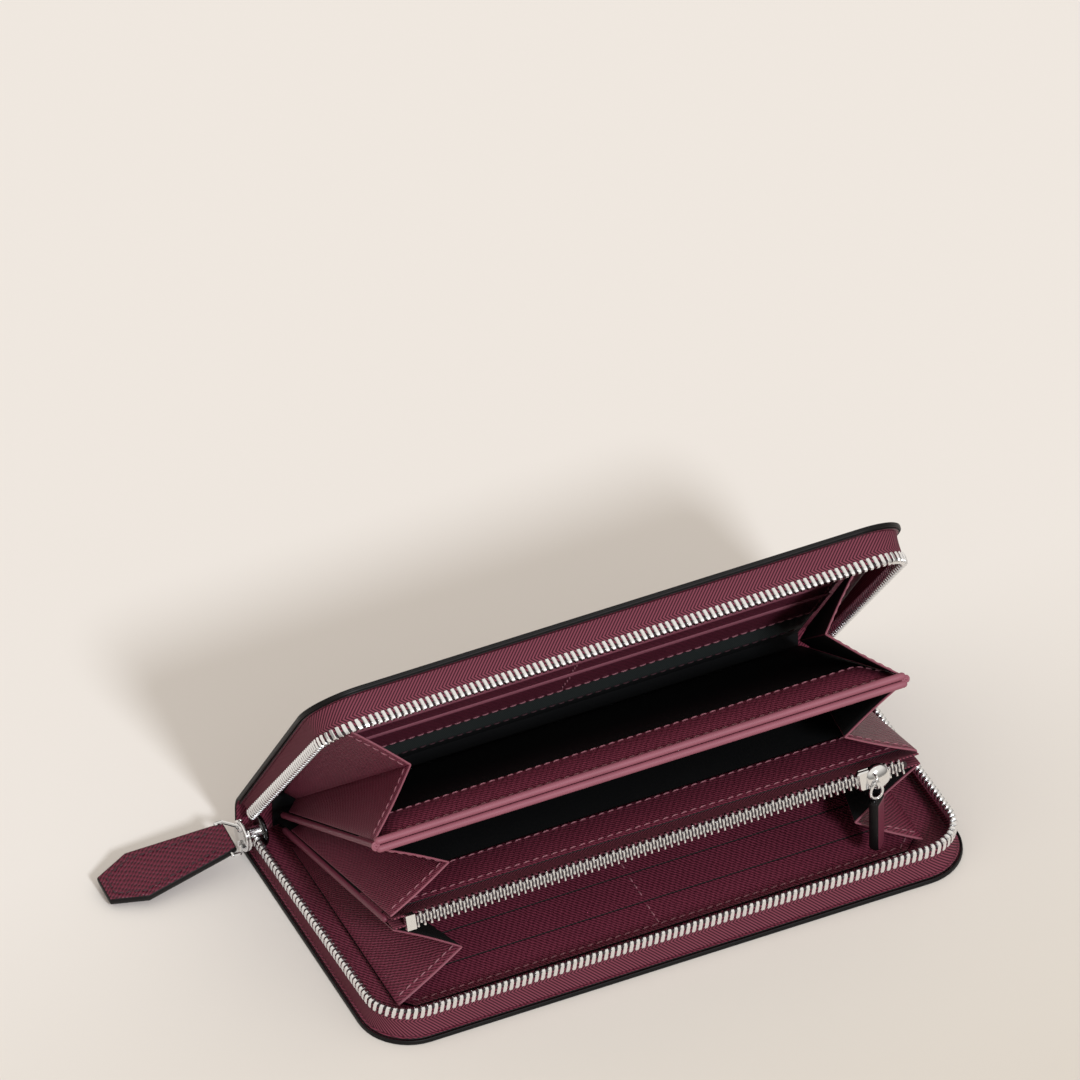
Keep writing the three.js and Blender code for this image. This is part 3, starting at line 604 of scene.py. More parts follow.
def makeEdge(side, leaf, body):
    # the painted edge: a flat bead that follows the cover's outline over all its layers
    half, front, r = halfLength - edgeBead["inset"], leafReach - edgeBead["inset"], case["cornerRadius"]
    turn = np.linspace(0, np.pi / 2, 22)
    corner = np.stack([-half + r - r * np.cos(turn), front - r + r * np.sin(turn)], -1)
    start = np.array([[-half, edgeBead[side + "Start"]]])
    plan = np.concatenate([start, corner, (corner * [-1, 1])[::-1], start * [-1, 1]])
    plan = resample(plan, np.linspace(0, resample(plan, [0])[1], 420))[0]
    up = leafNormal(leaf)
    path = onLeaf(leaf, plan[:, 0], plan[:, 1], edgeBead[side + "Middle"])
    outward, over = framesAlong(path, up)[1:]
    turn = 2 * np.pi * np.arange(12) / 12
    ring = np.stack([edgeBead["half"] * np.cos(turn),
                     edgeBead["high"] * np.sign(np.sin(turn)) * np.abs(np.sin(turn)) ** 0.6], -1)
    points, faces = sweep(path, outward, over, np.broadcast_to(ring, (len(path), 12, 2)))
    makePiece(side + "_painted_edge", points, faces, body, [paint])


skin = makeCaseSkin()
for side, (leaf, body, inward) in sides.items():
    makeFacing(side, leaf, body, inward)
for side, (leaf, body, inward) in sides.items():
    makeEdge(side, leaf, body)
print("case made")


# The zip round the covers

zipSizes = {"inset": 2.6, "tapeThick": 0.8, "tapeFoot": 0.25, "foot": 0.7, "toothPitch": 2.05, "toothLength": 1.3,
            "toothWide": 2.4, "toothHigh": 3.5, "toothLean": 0.16, "toothRow": 2.2, "cordRadius": 0.62, "cordDown": 1.1,
            "lowerStart": 8.1, "upperStart": 2.4, "closedAngle": 5.4}


def zipHeight(forward):
    # half of the space between the shut covers, which widens steadily away from the spine
    inside = leaves["upper"][1] - leaves["floor"][1]
    return (inside + forward * math.tan(math.radians(zipSizes["closedAngle"])) - 0.3) / 2


def zipPath(start, step=1.0):
    # down one side, round a corner, across the front, round the other and back: (across, forward) pairs
    inset = zipSizes["inset"]
    half, front, r = halfLength - inset, leafReach - inset, case["cornerRadius"] - inset
    turn = np.linspace(0, np.pi / 2, 14)
    end = np.array([[-half, start]])
    corner = np.stack([-half + r - r * np.cos(turn), front - r + r * np.sin(turn)], -1)
    path = np.concatenate([end, corner, (corner * [-1, 1])[::-1], end * [-1, 1]])
    length = resample(path, [0])[1]
    return resample(path, np.linspace(0, length, int(length / step)))[0]


def makeZip(side, leaf, body, inward):
    plan = zipPath(zipSizes[side + "Start"])
    up = leafNormal(leaf) * inward
    rise = zipHeight(plan[:, 1])
    base = onLeaf(leaf, plan[:, 0], plan[:, 1], 0)
    outward = framesAlong(base, up)[1]
    outward = outward * np.sign((outward[0] * [-1, 0, 0]).sum())
    # the tape: a thin wall whose foot leans outwards under the facing
    level = np.array([0, 0.08, 0.2, 0.4, 0.7, 1.0])
    wallTop = (rise - zipSizes["toothRow"] + 0.5)[:, None]
    low = zipSizes["tapeFoot"]
    lean = zipSizes["foot"] * (1 - level) ** 3
    halfThick = zipSizes["tapeThick"] / 2
    heights = low + (wallTop - low) * level[None]
    outer = np.stack([np.broadcast_to(lean + halfThick, heights.shape), heights], -1)
    inner = np.stack([np.broadcast_to(lean - halfThick, heights.shape), heights], -1)[:, ::-1]
    profile = np.concatenate([outer, inner], 1)
    points, faces = sweep(base, outward, np.broadcast_to(up, base.shape), profile)
    distance = np.concatenate([[0], np.cumsum(np.linalg.norm(np.diff(base, axis=0), axis=1))])
    uv = np.stack([np.broadcast_to(distance[:, None], profile.shape[:2]), profile[..., 1]], -1).reshape(-1, 2)
    makePiece(side + "_zip_tape_cloth", points, faces, body, [tapeCloth], uv=uv,
              nodes=(side + "_zip_tape",), sharp=60)
    # the teeth: bent metal clamps over the tape's edge, each a rounded block with a waist
    centres, direction, places = spread(base, zipSizes["toothPitch"])
    forwardAt = np.interp(places, distance, plan[:, 1])
    top = zipHeight(forwardAt)
    sideways = unit(np.cross(direction, np.broadcast_to(up, direction.shape)))
    wide, high, long = zipSizes["toothWide"] / 2, zipSizes["toothHigh"], zipSizes["toothLength"]
    arch = np.array([[-0.8, 0], [-1, 0.3], [-0.92, 0.55], [-1, 0.7], [-0.75, 0.93], [-0.3, 1]])
    arch = np.concatenate([arch, (arch * [-1, 1])[::-1]]) * [wide, high]
    arch[:, 1] -= high
    stations = [(-0.5, 0.82), (-0.34, 1.0), (0.34, 1.0), (0.5, 0.82)]
    shape = np.concatenate([np.column_stack([np.full(12, a * long), arch[:, 0] * s,
                                             (arch[:, 1] + high / 2) * s - high / 2]) for a, s in stations])
    faces = [gridFaces(4, 12, closeColumns=True), np.stack([np.arange(12), 36 + np.arange(12)[::-1]])]
    shape[:, 0] += zipSizes["toothLean"] * (shape[:, 2] + high / 2)
    points, faces = copies(shape, faces, centres + up * top[:, None], direction, sideways,
                           np.broadcast_to(up, direction.shape))
    makePiece(side + "_zip_teeth_metal", points, faces, body, [zipMetal],
              nodes=(side + "_zip_teeth",), sharp=35)
    # a cord runs inside the row and holds the teeth, as the tape's beaded edge does
    cordPath = base + up * (rise - zipSizes["cordDown"])[:, None]
    points, faces = tube(cordPath, zipSizes["cordRadius"], up, 8)
    makePiece(side + "_zip_bead", points, faces, body, [darkCloth])


for side, (leaf, body, inward) in sides.items():
    makeZip(side, leaf, body, inward)
print("zip made")


# Card panels inside both covers

cards = {"half": 85, "thick": 0.56, "pitch": 12.3, "chamfer": 5, "slotChamfer": 0.6, "levels": (0.5, 1.12, 1.74),
         "lowerFronts": (90.5, 78.2, 65.9), "upperFronts": (90.5, 57, 46.5), "lowerBacks": (13.1, 36.5, 36.5),
         "upperBacks": (28.4, 28.4, 28.4), "ribbonBack": 8, "ribbonFront": 28}


def cardSheet(back, front, half, chamfer, columns=26, rows=14):
    # a sheet whose front corners are cut off at a slant
    forward = np.concatenate([np.linspace(back, front - chamfer, rows), np.linspace(front - chamfer, front, 5)[1:]])
    halfs = half - np.maximum(forward - (front - chamfer), 0)
    x = halfs[:, None] * np.linspace(-1, 1, columns)
    return x, np.broadcast_to(forward[:, None], x.shape)


def makeCards(side, leaf, body, inward):
    up = leafNormal(leaf) * inward
    half, fronts, backs = cards["half"], cards[side + "Fronts"], cards[side + "Backs"]
    slotBack = backs[2]
    tops = [(level + cards["thick"] / 2) * inward for level in cards["levels"]]
    seams = []
    for n, name in enumerate(("header", "slot_front", "slot_rear")):
        x, forward = cardSheet(backs[n], fronts[n], half - 0.4 * n, cards["slotChamfer" if n else "chamfer"])
        # the upper slot edges take the pale leather: a painted highlight along the turned fold
        rim = foldHighlightLeather if side == "upper" and n else paint
        height = cards["levels"][n] * inward
        leafSheet(f"{side}_card_{name}_leather", leaf, x, forward, height, cards["thick"], body,
                  [panelLeather, panelLeather, rim], (f"{side}_card_{name}",))
        surface = height + inward * cards["thick"] / 2
        if side == "upper" and n:
            # the slot's edge is turned over: a flat band with a soft step, its pale colour a painted highlight along
            # the fold
            steps = np.linspace(-half + 1, half - 1, 60)
            bandPath = onLeaf(leaf, steps, fronts[n] - 0.55, surface - inward * 0.02)
            points, faces = tube(bandPath, 0.85, up, 10, flat=0.32)
            makePiece(f"upper_card_turned_edge_{n}", points, faces, body, [foldHighlightLeather])
        top = fronts[n] - 2.0
        bottom = fronts[n + 1] if n < 2 else (slotBack + 3 if side == "upper" else fronts[n] - cards["pitch"])
        seams.append(stitchRun(onLeaf(leaf, 0, np.array([top, bottom + 0.5]), surface), up))
    # a border of stitches round the header, then down both sides of each slot layer
    edge, front, cut = half - 2.0, fronts[0] - 2.0, cards["chamfer"] - 0.8
    border = np.array([[-edge, fronts[1] + 1], [-edge, front - cut], [-edge + cut, front],
                       [edge - cut, front], [edge, front - cut], [edge, fronts[1] + 1]])
    seams.append(stitchRun(onLeaf(leaf, border[:, 0], border[:, 1], tops[0]), up))
    for sign in (-1, 1):
        rear, middle = np.array([slotBack + 2, fronts[2] - 1]), np.array([fronts[2] + 1, fronts[1] - 1])
        seams.append(stitchRun(onLeaf(leaf, sign * (edge - 0.8), rear, tops[2]), up))
        seams.append(stitchRun(onLeaf(leaf, sign * (edge - 0.4), middle, tops[1]), up))
    if side == "upper":
        seams.append(stitchRun(onLeaf(leaf, np.array([-edge, edge]), slotBack + 1.4, tops[2]), up))
    points, faces = join(*seams)
    makePiece(side + "_card_stitches", points, faces, body, [thread])


for side, (leaf, body, inward) in sides.items():
    makeCards(side, leaf, body, inward)

# behind the upper cards: a ribbon with dark stitches, then plain lining down to the spine
x, forward = flatSheet(cards["ribbonBack"], cards["ribbonFront"] + 1, 84.6, 40, 7)
leafSheet("upper_ribbon_cloth", "upper", x, forward, -1.05, 0.3, "upper_half",
          [ribbonCloth] * 3, ("upper_lining_ribbon",))
x, forward = flatSheet(1.0, 29, 85.5, 30, 14)
leafSheet("upper_lining_cloth", "upper", x, forward, -0.62, 0.5, "upper_half", [lining] * 3)
seam = onLeaf("upper", np.array([-83, 83]), cards["ribbonBack"] + 1, -1.2)
points, faces = stitchRun(seam, -leafNormal("upper"))
makePiece("upper_ribbon_stitches", points, faces, "upper_half", [darkThread])
print("cards made")


# The divider and the coin pocket: two-walled leaves, lining inside and a band of leather at the mouth

dividerSizes = {"back": 1.2, "bandBack": 72.5, "front": 87.4, "lipForward": 88, "lipHeight": 1.2, "lipRadius": 1.15,
                "stitch": 85.4, "swell": 4.2}
coinSizes = {"back": 1.2, "bandBack": 64.5, "front": 80.8, "tapeBack": 80.6, "tapeFront": 89.3, "stitch": 78.9,
             "swell": 1.6, "toothPitch": 1.08, "toothWide": 0.82, "toothShift": 0.55, "toothAt": 90.4, "beadAt": 89.9,
             "beadRadius": 1.2, "rowLeft": -79, "rowRight": 80}


def swellOf(x, forward, sizes):
    # how far a wall stands off its leaf: it climbs to the band's back edge and comes down to the mouth,
    # and dies away at both sides where the gussets hold it
    climb = np.clip((forward - 20) / (sizes["bandBack"] - 20), 0, 1)
    climb = climb ** 2 * (3 - 2 * climb)
    fall = np.clip((sizes["front"] - forward) / (sizes["front"] - sizes["bandBack"]), 0, 1)
    hold = np.clip((1 - np.abs(x) / leafHalf) / 0.12, 0, 1)
    hold = hold * hold * (3 - 2 * hold)
    return sizes["swell"] * np.minimum(climb, np.sin(fall * np.pi / 2)) * hold


def puffedSheet(name, leaf, x, forward, sign, height, thickness, sizes, body, materials, nodes=()):
    # a wall that follows the swell, with its normals from the slopes of its own grid
    centre = onLeaf(leaf, x, forward, sign * (height + swellOf(x, forward, sizes)))
    normals = unit(np.cross(np.gradient(centre, axis=0), np.gradient(centre, axis=1)))
    normals = normals * np.sign((normals * leafNormal(leaf)).sum(-1, keepdims=True))
    return makeSlab(name, centre, normals, thickness, np.stack([x, forward], -1), body, materials, nodes)


def makeWalls(name, leaf, body, sizes, edge, nodes):
    flat = dict(sizes, swell=0)
    for side, sign, shape in (("upper", 1, sizes), ("lower", -1, flat)):
        x, forward = flatSheet(sizes["back"], sizes["bandBack"] + 3, leafHalf - 0.4, 40, 26)
        pieces = [puffedSheet(f"{name}_{side}_lining", leaf, x, forward, sign, 0.5, 0.5, shape, body,
                              [lining] * 3, (nodes[side],))]
        x, forward = flatSheet(sizes["bandBack"], sizes["front"], leafHalf - 0.1, 60, 12)
        pieces.append(puffedSheet(f"{name}_{side}_band", leaf, x, forward, sign, 0.62, 0.66, shape, body,
                                  [panelLeather, panelLeather, edge]))
        steps = np.linspace(-leafHalf + 1.5, leafHalf - 1.5, 60)
        runs = [stitchRun(onLeaf(leaf, steps, at, sign * (0.95 + swellOf(steps, np.full(60, at), shape))),
                          leafNormal(leaf) * sign) for at in (sizes["stitch"], sizes["bandBack"] + 1.4)]
        points, faces = join(*runs)
        pieces.append(makePiece(f"{name}_{side}_stitches", points, faces, body, [thread]))
        if shape["swell"]:
            anchor = onLeaf(leaf, 0, 50, 0.3) * 0.001
            for piece in pieces:
                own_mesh(piece)


# the divider band's rim is pale: a painted highlight along its turned edge
makeWalls("divider", "divider", "divider", dividerSizes, foldHighlightLeather,
          {"upper": "divider_upper_panel", "lower": "divider_lower_panel"})
# the lips are pale: a painted highlight along each rolled fold
for side, sign in (("upper", 1), ("lower", -1)):
    steps = np.linspace(-leafHalf + 0.8, leafHalf - 0.8, 90)
    path = onLeaf("divider", steps, dividerSizes["lipForward"], sign * dividerSizes["lipHeight"])
    points, faces = tube(path, dividerSizes["lipRadius"], leafNormal("divider"), 14)
    makePiece(f"divider_{side}_lip", points, faces, "divider", [foldHighlightLeather])

makeWalls("coin_pocket", "coin", "coin_pocket", coinSizes, paint,
          {"upper": "coin_pocket_upper_panel", "lower": "coin_pocket_lower_panel"})


def makeCoinZip():
    leaf, body = "coin", "coin_pocket"
    for side, sign in (("upper", 1), ("lower", -1)):
        # each tape slopes from the pocket's wall out to the row of teeth
        x, forward = flatSheet(coinSizes["tapeBack"], coinSizes["tapeFront"], leafHalf - 0.4, 70, 9)
        part = (forward - forward.min()) / (forward.max() - forward.min())
        height = sign * (0.42 + 1.2 * part ** 1.4)
        centre = onLeaf(leaf, x, forward, height)
        slope = np.gradient(height, forward[0], axis=1)
        tilt = np.radians(leaves[leaf][2])
        normals = unit(np.stack([np.zeros_like(x), np.sin(tilt) + slope * np.cos(tilt),
                                 np.cos(tilt) - slope * np.sin(tilt)], -1))
        makeSlab(f"coin_zip_{side}_cloth", centre, normals, 0.5, np.stack([x, forward], -1), body,
                 [tapeCloth] * 3, (f"coin_zip_{side}_tape",))
    # the row: slim rounded teeth pinched in the middle where the two sides mesh
    rowLength = coinSizes["rowRight"] - coinSizes["rowLeft"]
    count = int(rowLength / coinSizes["toothPitch"])
    x = coinSizes["rowLeft"] + (np.arange(count) + 0.5) * rowLength / count
    centres = onLeaf(leaf, x, coinSizes["toothAt"], 0)
    heights = np.array([-2.0, -1.8, -1.2, -0.3, 0.3, 1.2, 1.8, 2.0])
    deep = np.array([0.55, 0.9, 1.05, 0.75, 0.75, 1.05, 0.9, 0.55])
    wide = np.array([0.7, 1.0, 1.0, 0.9, 0.9, 1.0, 1.0, 0.7]) * coinSizes["toothWide"] / 2
    turn = 2 * np.pi * (np.arange(8) + 0.5) / 8
    soft = np.sign(np.cos(turn)) * np.abs(np.cos(turn)) ** 0.7, np.sign(np.sin(turn)) * np.abs(np.sin(turn)) ** 0.7
    shape = np.stack([(wide[:, None] * soft[0]).ravel() * 1.1, (deep[:, None] * soft[1]).ravel(),
                      np.repeat(heights, 8)], -1)
    faces = [gridFaces(8, 8, closeColumns=True), np.stack([np.arange(8), 56 + np.arange(8)[::-1]])]
    shift = coinSizes["toothShift"] * np.where(np.arange(count) % 2, 1, -1)[:, None] * leafNormal(leaf)
    points, faces = copies(shape, faces, centres + shift, np.tile([1.0, 0, 0], (count, 1)),
                           np.tile(leafOut(leaf), (count, 1)), np.tile(leafNormal(leaf), (count, 1)))
    makePiece("coin_zip_teeth_metal", points, faces, body, [zipMetal], nodes=("coin_zip_teeth",), sharp=40)
    path = onLeaf(leaf, np.linspace(coinSizes["rowLeft"], coinSizes["rowRight"], 30), coinSizes["beadAt"], 0)
    points, faces = tube(path, coinSizes["beadRadius"], leafNormal(leaf), 10)
    makePiece("coin_zip_bead", points, faces, body, [darkCloth])


makeCoinZip()
print("leaves made")


# Gussets: folded side walls, two thin panels each, that meet at a crease

gussetSizes = {"line": 0.5, "back": 12, "backWidth": 4.5, "frontWidths": (25.5, 23.5, 25.5), "leather": 0.5,
               "leafHeight": 1.35, "coinHeight": 2.3, "cardHeight": 2.39, "edge": 0.5, "stitch": 2.4, "bow": 0.35,
               "fronts": {"upper": 82, "divider": 86, "coin": 88, "lower": 87}}


def gussetEdges():
    # each compartment's two hinge lines: the leaf, its height at the back and at the front
    g = gussetSizes
    return [(("upper", -g["cardHeight"], -g["cardHeight"]), ("divider", g["leafHeight"], g["leafHeight"])),
            (("divider", -g["leafHeight"], -g["leafHeight"]), ("coin", g["leafHeight"], g["coinHeight"])),
            (("coin", -g["leafHeight"], -g["coinHeight"]), ("lower", g["cardHeight"], g["cardHeight"]))]


def foldPoint(a, b, width, outward):
    # midway between two hinge points and inwards by what the panel's width leaves
    reach = math.sqrt(max(width ** 2 - (np.linalg.norm(a - b) / 2) ** 2, 0))
    return (a + b) / 2 - np.array([outward * reach, 0, 0])


def makeGussets():
    g = gussetSizes
    lineX = leafHalf - g["line"]
    for outward, sideName in ((-1, "left"), (1, "right")):
        for number, pair in enumerate(gussetEdges(), 1):
            ends = [[onLeaf(leaf, outward * lineX, g["back"], low),
                     onLeaf(leaf, outward * lineX, g["fronts"][leaf], high)] for leaf, low, high in pair]
            backFold = foldPoint(ends[0][0], ends[1][0], g["backWidth"], outward)
            frontFold = foldPoint(ends[0][1], ends[1][1], g["frontWidths"][number - 1], outward)
            for half, (backEnd, frontEnd) in zip(("upper", "lower"), ends):
                name = f"{sideName}_gusset_{number}_{half}"
                u, v = np.meshgrid(np.linspace(0, 1, 16), np.linspace(0, 1, 10), indexing="ij")
                u, v = u[..., None], v[..., None]
                hinge = backEnd + (frontEnd - backEnd) * u
                fold = backFold + (frontFold - backFold) * u
                flat = hinge * (1 - v) + fold * v
                normal = unit(np.cross(frontEnd - backEnd, frontFold - backEnd))
                normal = normal * np.sign(normal[0] * outward)
                centre = flat - normal * g["bow"] * np.sin(np.pi * v) * u
                length = np.linalg.norm(frontEnd - backEnd)
                uv = np.concatenate([u * length, v * np.linalg.norm(frontFold - frontEnd)], -1)
                makeSlab(name + "_leather", centre, np.broadcast_to(normal, centre.shape), g["leather"], uv, name,
                         [panelLeather, lining, deepLeather], (name,))
                # the front edge is turned over and sewn down; its pale colour is a painted highlight along the fold
                steps = np.linspace(0.01, 0.99, 24)[:, None]
                edgeLine = frontEnd + (frontFold - frontEnd) * steps
                bow = -normal * g["bow"] * np.sin(np.pi * steps)
                points, faces = tube(edgeLine + bow, g["edge"], normal, 10, flat=0.62)
                makePiece(name + "_edge", points, faces, name, [foldHighlightLeather])
                back = unit(backEnd - frontEnd)
                seam = edgeLine[[1, 12, 22]] + bow[[1, 12, 22]] + back * g["stitch"] + normal * g["leather"] / 2
                points, faces = stitchRun(seam, normal)
                makePiece(name + "_stitches", points, faces, name, [thread])


makeGussets()

# the rolled side edges of the two inner leaves, where their gussets are sewn in
sideRoll = {"radius": 1.0, "outside": 0.2, "back": 8}
for leaf, body, front in (("divider", "divider", 87), ("coin", "coin_pocket", 84)):
    forward = np.linspace(sideRoll["back"], front, 40)
    points, faces = join(*[tube(onLeaf(leaf, sign * (leafHalf + sideRoll["outside"]), forward, 0), sideRoll["radius"],
                                leafNormal(leaf), 12) for sign in (-1, 1)])
    makePiece(f"{body}_side_rolls", points, faces, body, [deepLeather])
spirals = []
for sign in (-1, 1):
    # the leather's end curls once round itself, seen as a small scroll from the front; its pale colour is a painted
    # highlight on the curl
    turn = np.linspace(0, 3.4 * np.pi, 60)
    grow = 0.25 + 1.0 * turn / turn.max()
    x = sign * (leafHalf + sideRoll["outside"]) + grow * np.cos(turn)
    centre = onLeaf("divider", x, 88.2, grow * np.sin(turn))
    spirals.append(tube(centre, 0.42, (0, -1, 0.4), 8))
points, faces = join(*spirals)
makePiece("divider_scrolls", points, faces, "divider", [foldHighlightLeather])
print("gussets made")


# The pull tab and the coin pocket's pull

def bodyAxes(node):
    # a CAD node's middle and its three directions, longest first, from its own points
    mesh = frame["nodes"][node].data
    points = np.empty(len(mesh.vertices) * 3, np.float32)
    mesh.vertices.foreach_get("co", points)
    points = np.unique(points.reshape(-1, 3).round(6), axis=0) * 1000
    middle = (points.min(0) + points.max(0)) / 2
    axes = np.linalg.svd(points - points.mean(0))[2]
    spans = (points - middle) @ axes.T
    middle = middle + ((spans.min(0) + spans.max(0)) / 2) @ axes
    spans = (points - middle) @ axes.T
    return middle, axes, spans.max(0)


tabSizes = {"root": 5.4, "shoulder": 8.6, "shoulderAt": 30, "point": 4.5, "thick": 2.5, "stitch": 2.1,
            "stitchPitch": 2.4, "stitchStart": 5}
strapSizes = {"length": 18.2, "width": 5.0, "thick": 3.0, "top": 5.4, "tip": 2.2, "tipWidth": 0.45}
linkSizes = {"reach": 3.05, "half": 1.85, "narrow": 0.22, "down": 1.6, "wire": 0.55}


def makeTab():
    # a paddle: its half width grows from the root to the shoulder and closes to a blunt point
    middle, axes, reach = bodyAxes("pull_tab")
    lengthways = axes[0] * np.sign(-axes[0][0])
    normal = axes[2] * np.sign(axes[2][2])
    across = unit(np.cross(normal, lengthways))
    start = middle - lengthways * reach[0]
    s = np.concatenate([np.linspace(0, 3, 5), np.linspace(3, tabSizes["shoulderAt"], 18)[1:],
                        np.linspace(tabSizes["shoulderAt"], 2 * reach[0], 10)[1:]])
    half = np.interp(s, [0, 3, tabSizes["shoulderAt"], 2 * reach[0]],
                     [tabSizes["root"] - 0.8, tabSizes["root"], tabSizes["shoulder"], tabSizes["point"]])
    w = half[:, None] * np.linspace(-1, 1, 15)
    lengths = np.broadcast_to(s[:, None], w.shape)
    centre = start + lengthways * lengths[..., None] + across * w[..., None]
    makeSlab("pull_tab_leather", centre, np.broadcast_to(normal, centre.shape), tabSizes["thick"],
             np.stack([w, lengths], -1), "pull_tab", [leather, leather, paint], ("pull_tab",),
             rimSteps=6, bulge=0.35)
    seams = []
    inset = tabSizes["stitch"]
    line = np.array([[-tabSizes["root"] + inset, tabSizes["stitchStart"]],
                     [-tabSizes["shoulder"] + inset, tabSizes["shoulderAt"]],
                     [-tabSizes["point"] + inset * 0.6, 2 * reach[0] - inset]])
    line = np.concatenate([line, (line * [-1, 1])[::-1]])
    for sign in (1, -1):
        path = start + lengthways * line[:, 1:] + across * line[:, :1] + normal * sign * tabSizes["thick"] / 2
        seams.append(stitchRun(path, normal * sign, pitch=tabSizes["stitchPitch"]))
    points, faces = join(*seams)
    makePiece("pull_tab_stitches", points, faces, "pull_tab", [darkThread])


def makeStrap():
    # a hanging strip whose lower end narrows and closes as a quarter turn
    pivot = pivotOf("coin_pull_swing")
    normal = unit(np.array([1.0, -1.0, 0]))
    across = unit(np.array([1.0, 1.0, 0]))
    tip, straight = strapSizes["tip"], strapSizes["length"] - strapSizes["tip"]
    turn = np.linspace(0, np.pi / 2, 7)[1:]
    s = np.concatenate([np.linspace(0, straight, 14), straight + tip * np.sin(turn)])
    half = np.concatenate([np.full(14, 1.0), np.cos(turn) * (1 - strapSizes["tipWidth"]) + strapSizes["tipWidth"]])
    half = half * strapSizes["width"] / 2
    w = half[:, None] * np.linspace(-1, 1, 9)
    lengths = np.broadcast_to(s[:, None], w.shape)
    down = np.array([0, 0, -1.0])
    centre = pivot + down * strapSizes["top"] + down * lengths[..., None] + across * w[..., None]
    makeSlab("coin_pull_strap_leather", centre, np.broadcast_to(normal, centre.shape), strapSizes["thick"],
             np.stack([w, lengths], -1), "coin_pull", [deepLeather, deepLeather, paint],
             ("coin_pull_strap",), rimSteps=6, bulge=0.35)


def makeLink():
    # a drop-shaped wire ring: narrow round the slider's post and wider where the strap hangs
    pivot = pivotOf("coin_pull_swing")
    turn = np.linspace(0, 2 * np.pi, 48, endpoint=False)
    long = linkSizes["reach"] * np.cos(turn)
    wide = linkSizes["half"] * np.sin(turn) * (1 - linkSizes["narrow"] * np.cos(turn))
    path = np.stack([pivot[0] + wide, np.full(48, pivot[1]), pivot[2] - linkSizes["down"] + long], -1)
    points, faces = tube(path, linkSizes["wire"], (0, 1, 0), 12, closed=True)
    makePiece("coin_pull_link_wire", points, faces, "coin_pull", [brightMetal],
              nodes=("coin_pull_link",))


makeTab()
makeStrap()
makeLink()
print("pulls made")


# Sliders: the case's own with its two round plates, and the coin pocket's with a domed head

sliderSizes = {"plateRadius": 5.0, "plateHalf": 0.62, "postRadius": 2.1, "plateInset": 1.6, "lugHalf": 0.6,
               "lugWide": 0.9, "lugAt": 3.0, "guideRadius": 0.5, "domeRadius": 3.9, "domeHigh": 1.7, "bridgeHalf": 1.9,
               "bridgeFoot": 92.2, "bridgeTop": 95.5, "bridgeBend": 0.9, "bridgeWire": 0.5}


def lathe(profile, centre, axis, right, steps=40):
    # a line of (radius, along) pairs turned once about an axis, shut at both poles
    axis, right = unit(np.asarray(axis, float)), unit(np.asarray(right, float))
    other = np.cross(axis, right)
    turn = 2 * np.pi * np.arange(steps) / steps
    ring = np.cos(turn)[:, None] * right + np.sin(turn)[:, None] * other
    inner = profile[1:-1]
    points = centre + inner[:, 0, None, None] * ring[None] + inner[:, 1, None, None] * axis
    rows = len(inner)
    poles = centre + profile[[0, -1], 1][:, None] * axis
    around = np.arange(steps)
    first = np.stack([np.full(steps, rows * steps), (around + 1) % steps, around], -1)
    last = np.stack([np.full(steps, rows * steps + 1), (rows - 1) * steps + around,
                     (rows - 1) * steps + (around + 1) % steps], -1)
    return np.concatenate([points.reshape(-1, 3), poles]), [gridFaces(rows, steps, closeColumns=True), first, last]


def plateProfile(radius, half, dish):
    # a disc with a rounded rim and, on its outer side, a shallow dish inside a raised lip
    turn = np.linspace(np.pi / 2, -np.pi / 2, 9)
    rim = np.stack([radius - half + half * np.cos(turn), half * np.sin(turn)], -1)
    top = np.array([[0, half - dish], [radius * 0.35, half - dish], [radius * 0.62, half - dish],
                    [radius * 0.72, half]])
    return np.concatenate([top, rim, [[radius * 0.5, -half], [0, -half]]])


def roundedBox(low, high, round=0.35):
    # an eight-sided loop for the outline, in four levels that draw in at both ends
    lowA, lowB, lowC = low
    highA, highB, highC = high
    r = round
    loop = np.array([[lowA + r, lowB], [highA - r, lowB], [highA, lowB + r], [highA, highB - r], [highA - r, highB],
                     [lowA + r, highB], [lowA, highB - r], [lowA, lowB + r]])
    middle = loop.mean(0)
    levels = [(lowC, 0.88), (lowC + r, 1), (highC - r, 1), (highC, 0.88)]
    points = np.concatenate([np.column_stack([middle + (loop - middle) * k, np.full(8, c)]) for c, k in levels])
    return points, [gridFaces(4, 8, closeColumns=True), np.stack([np.arange(8), 24 + np.arange(8)[::-1]])]


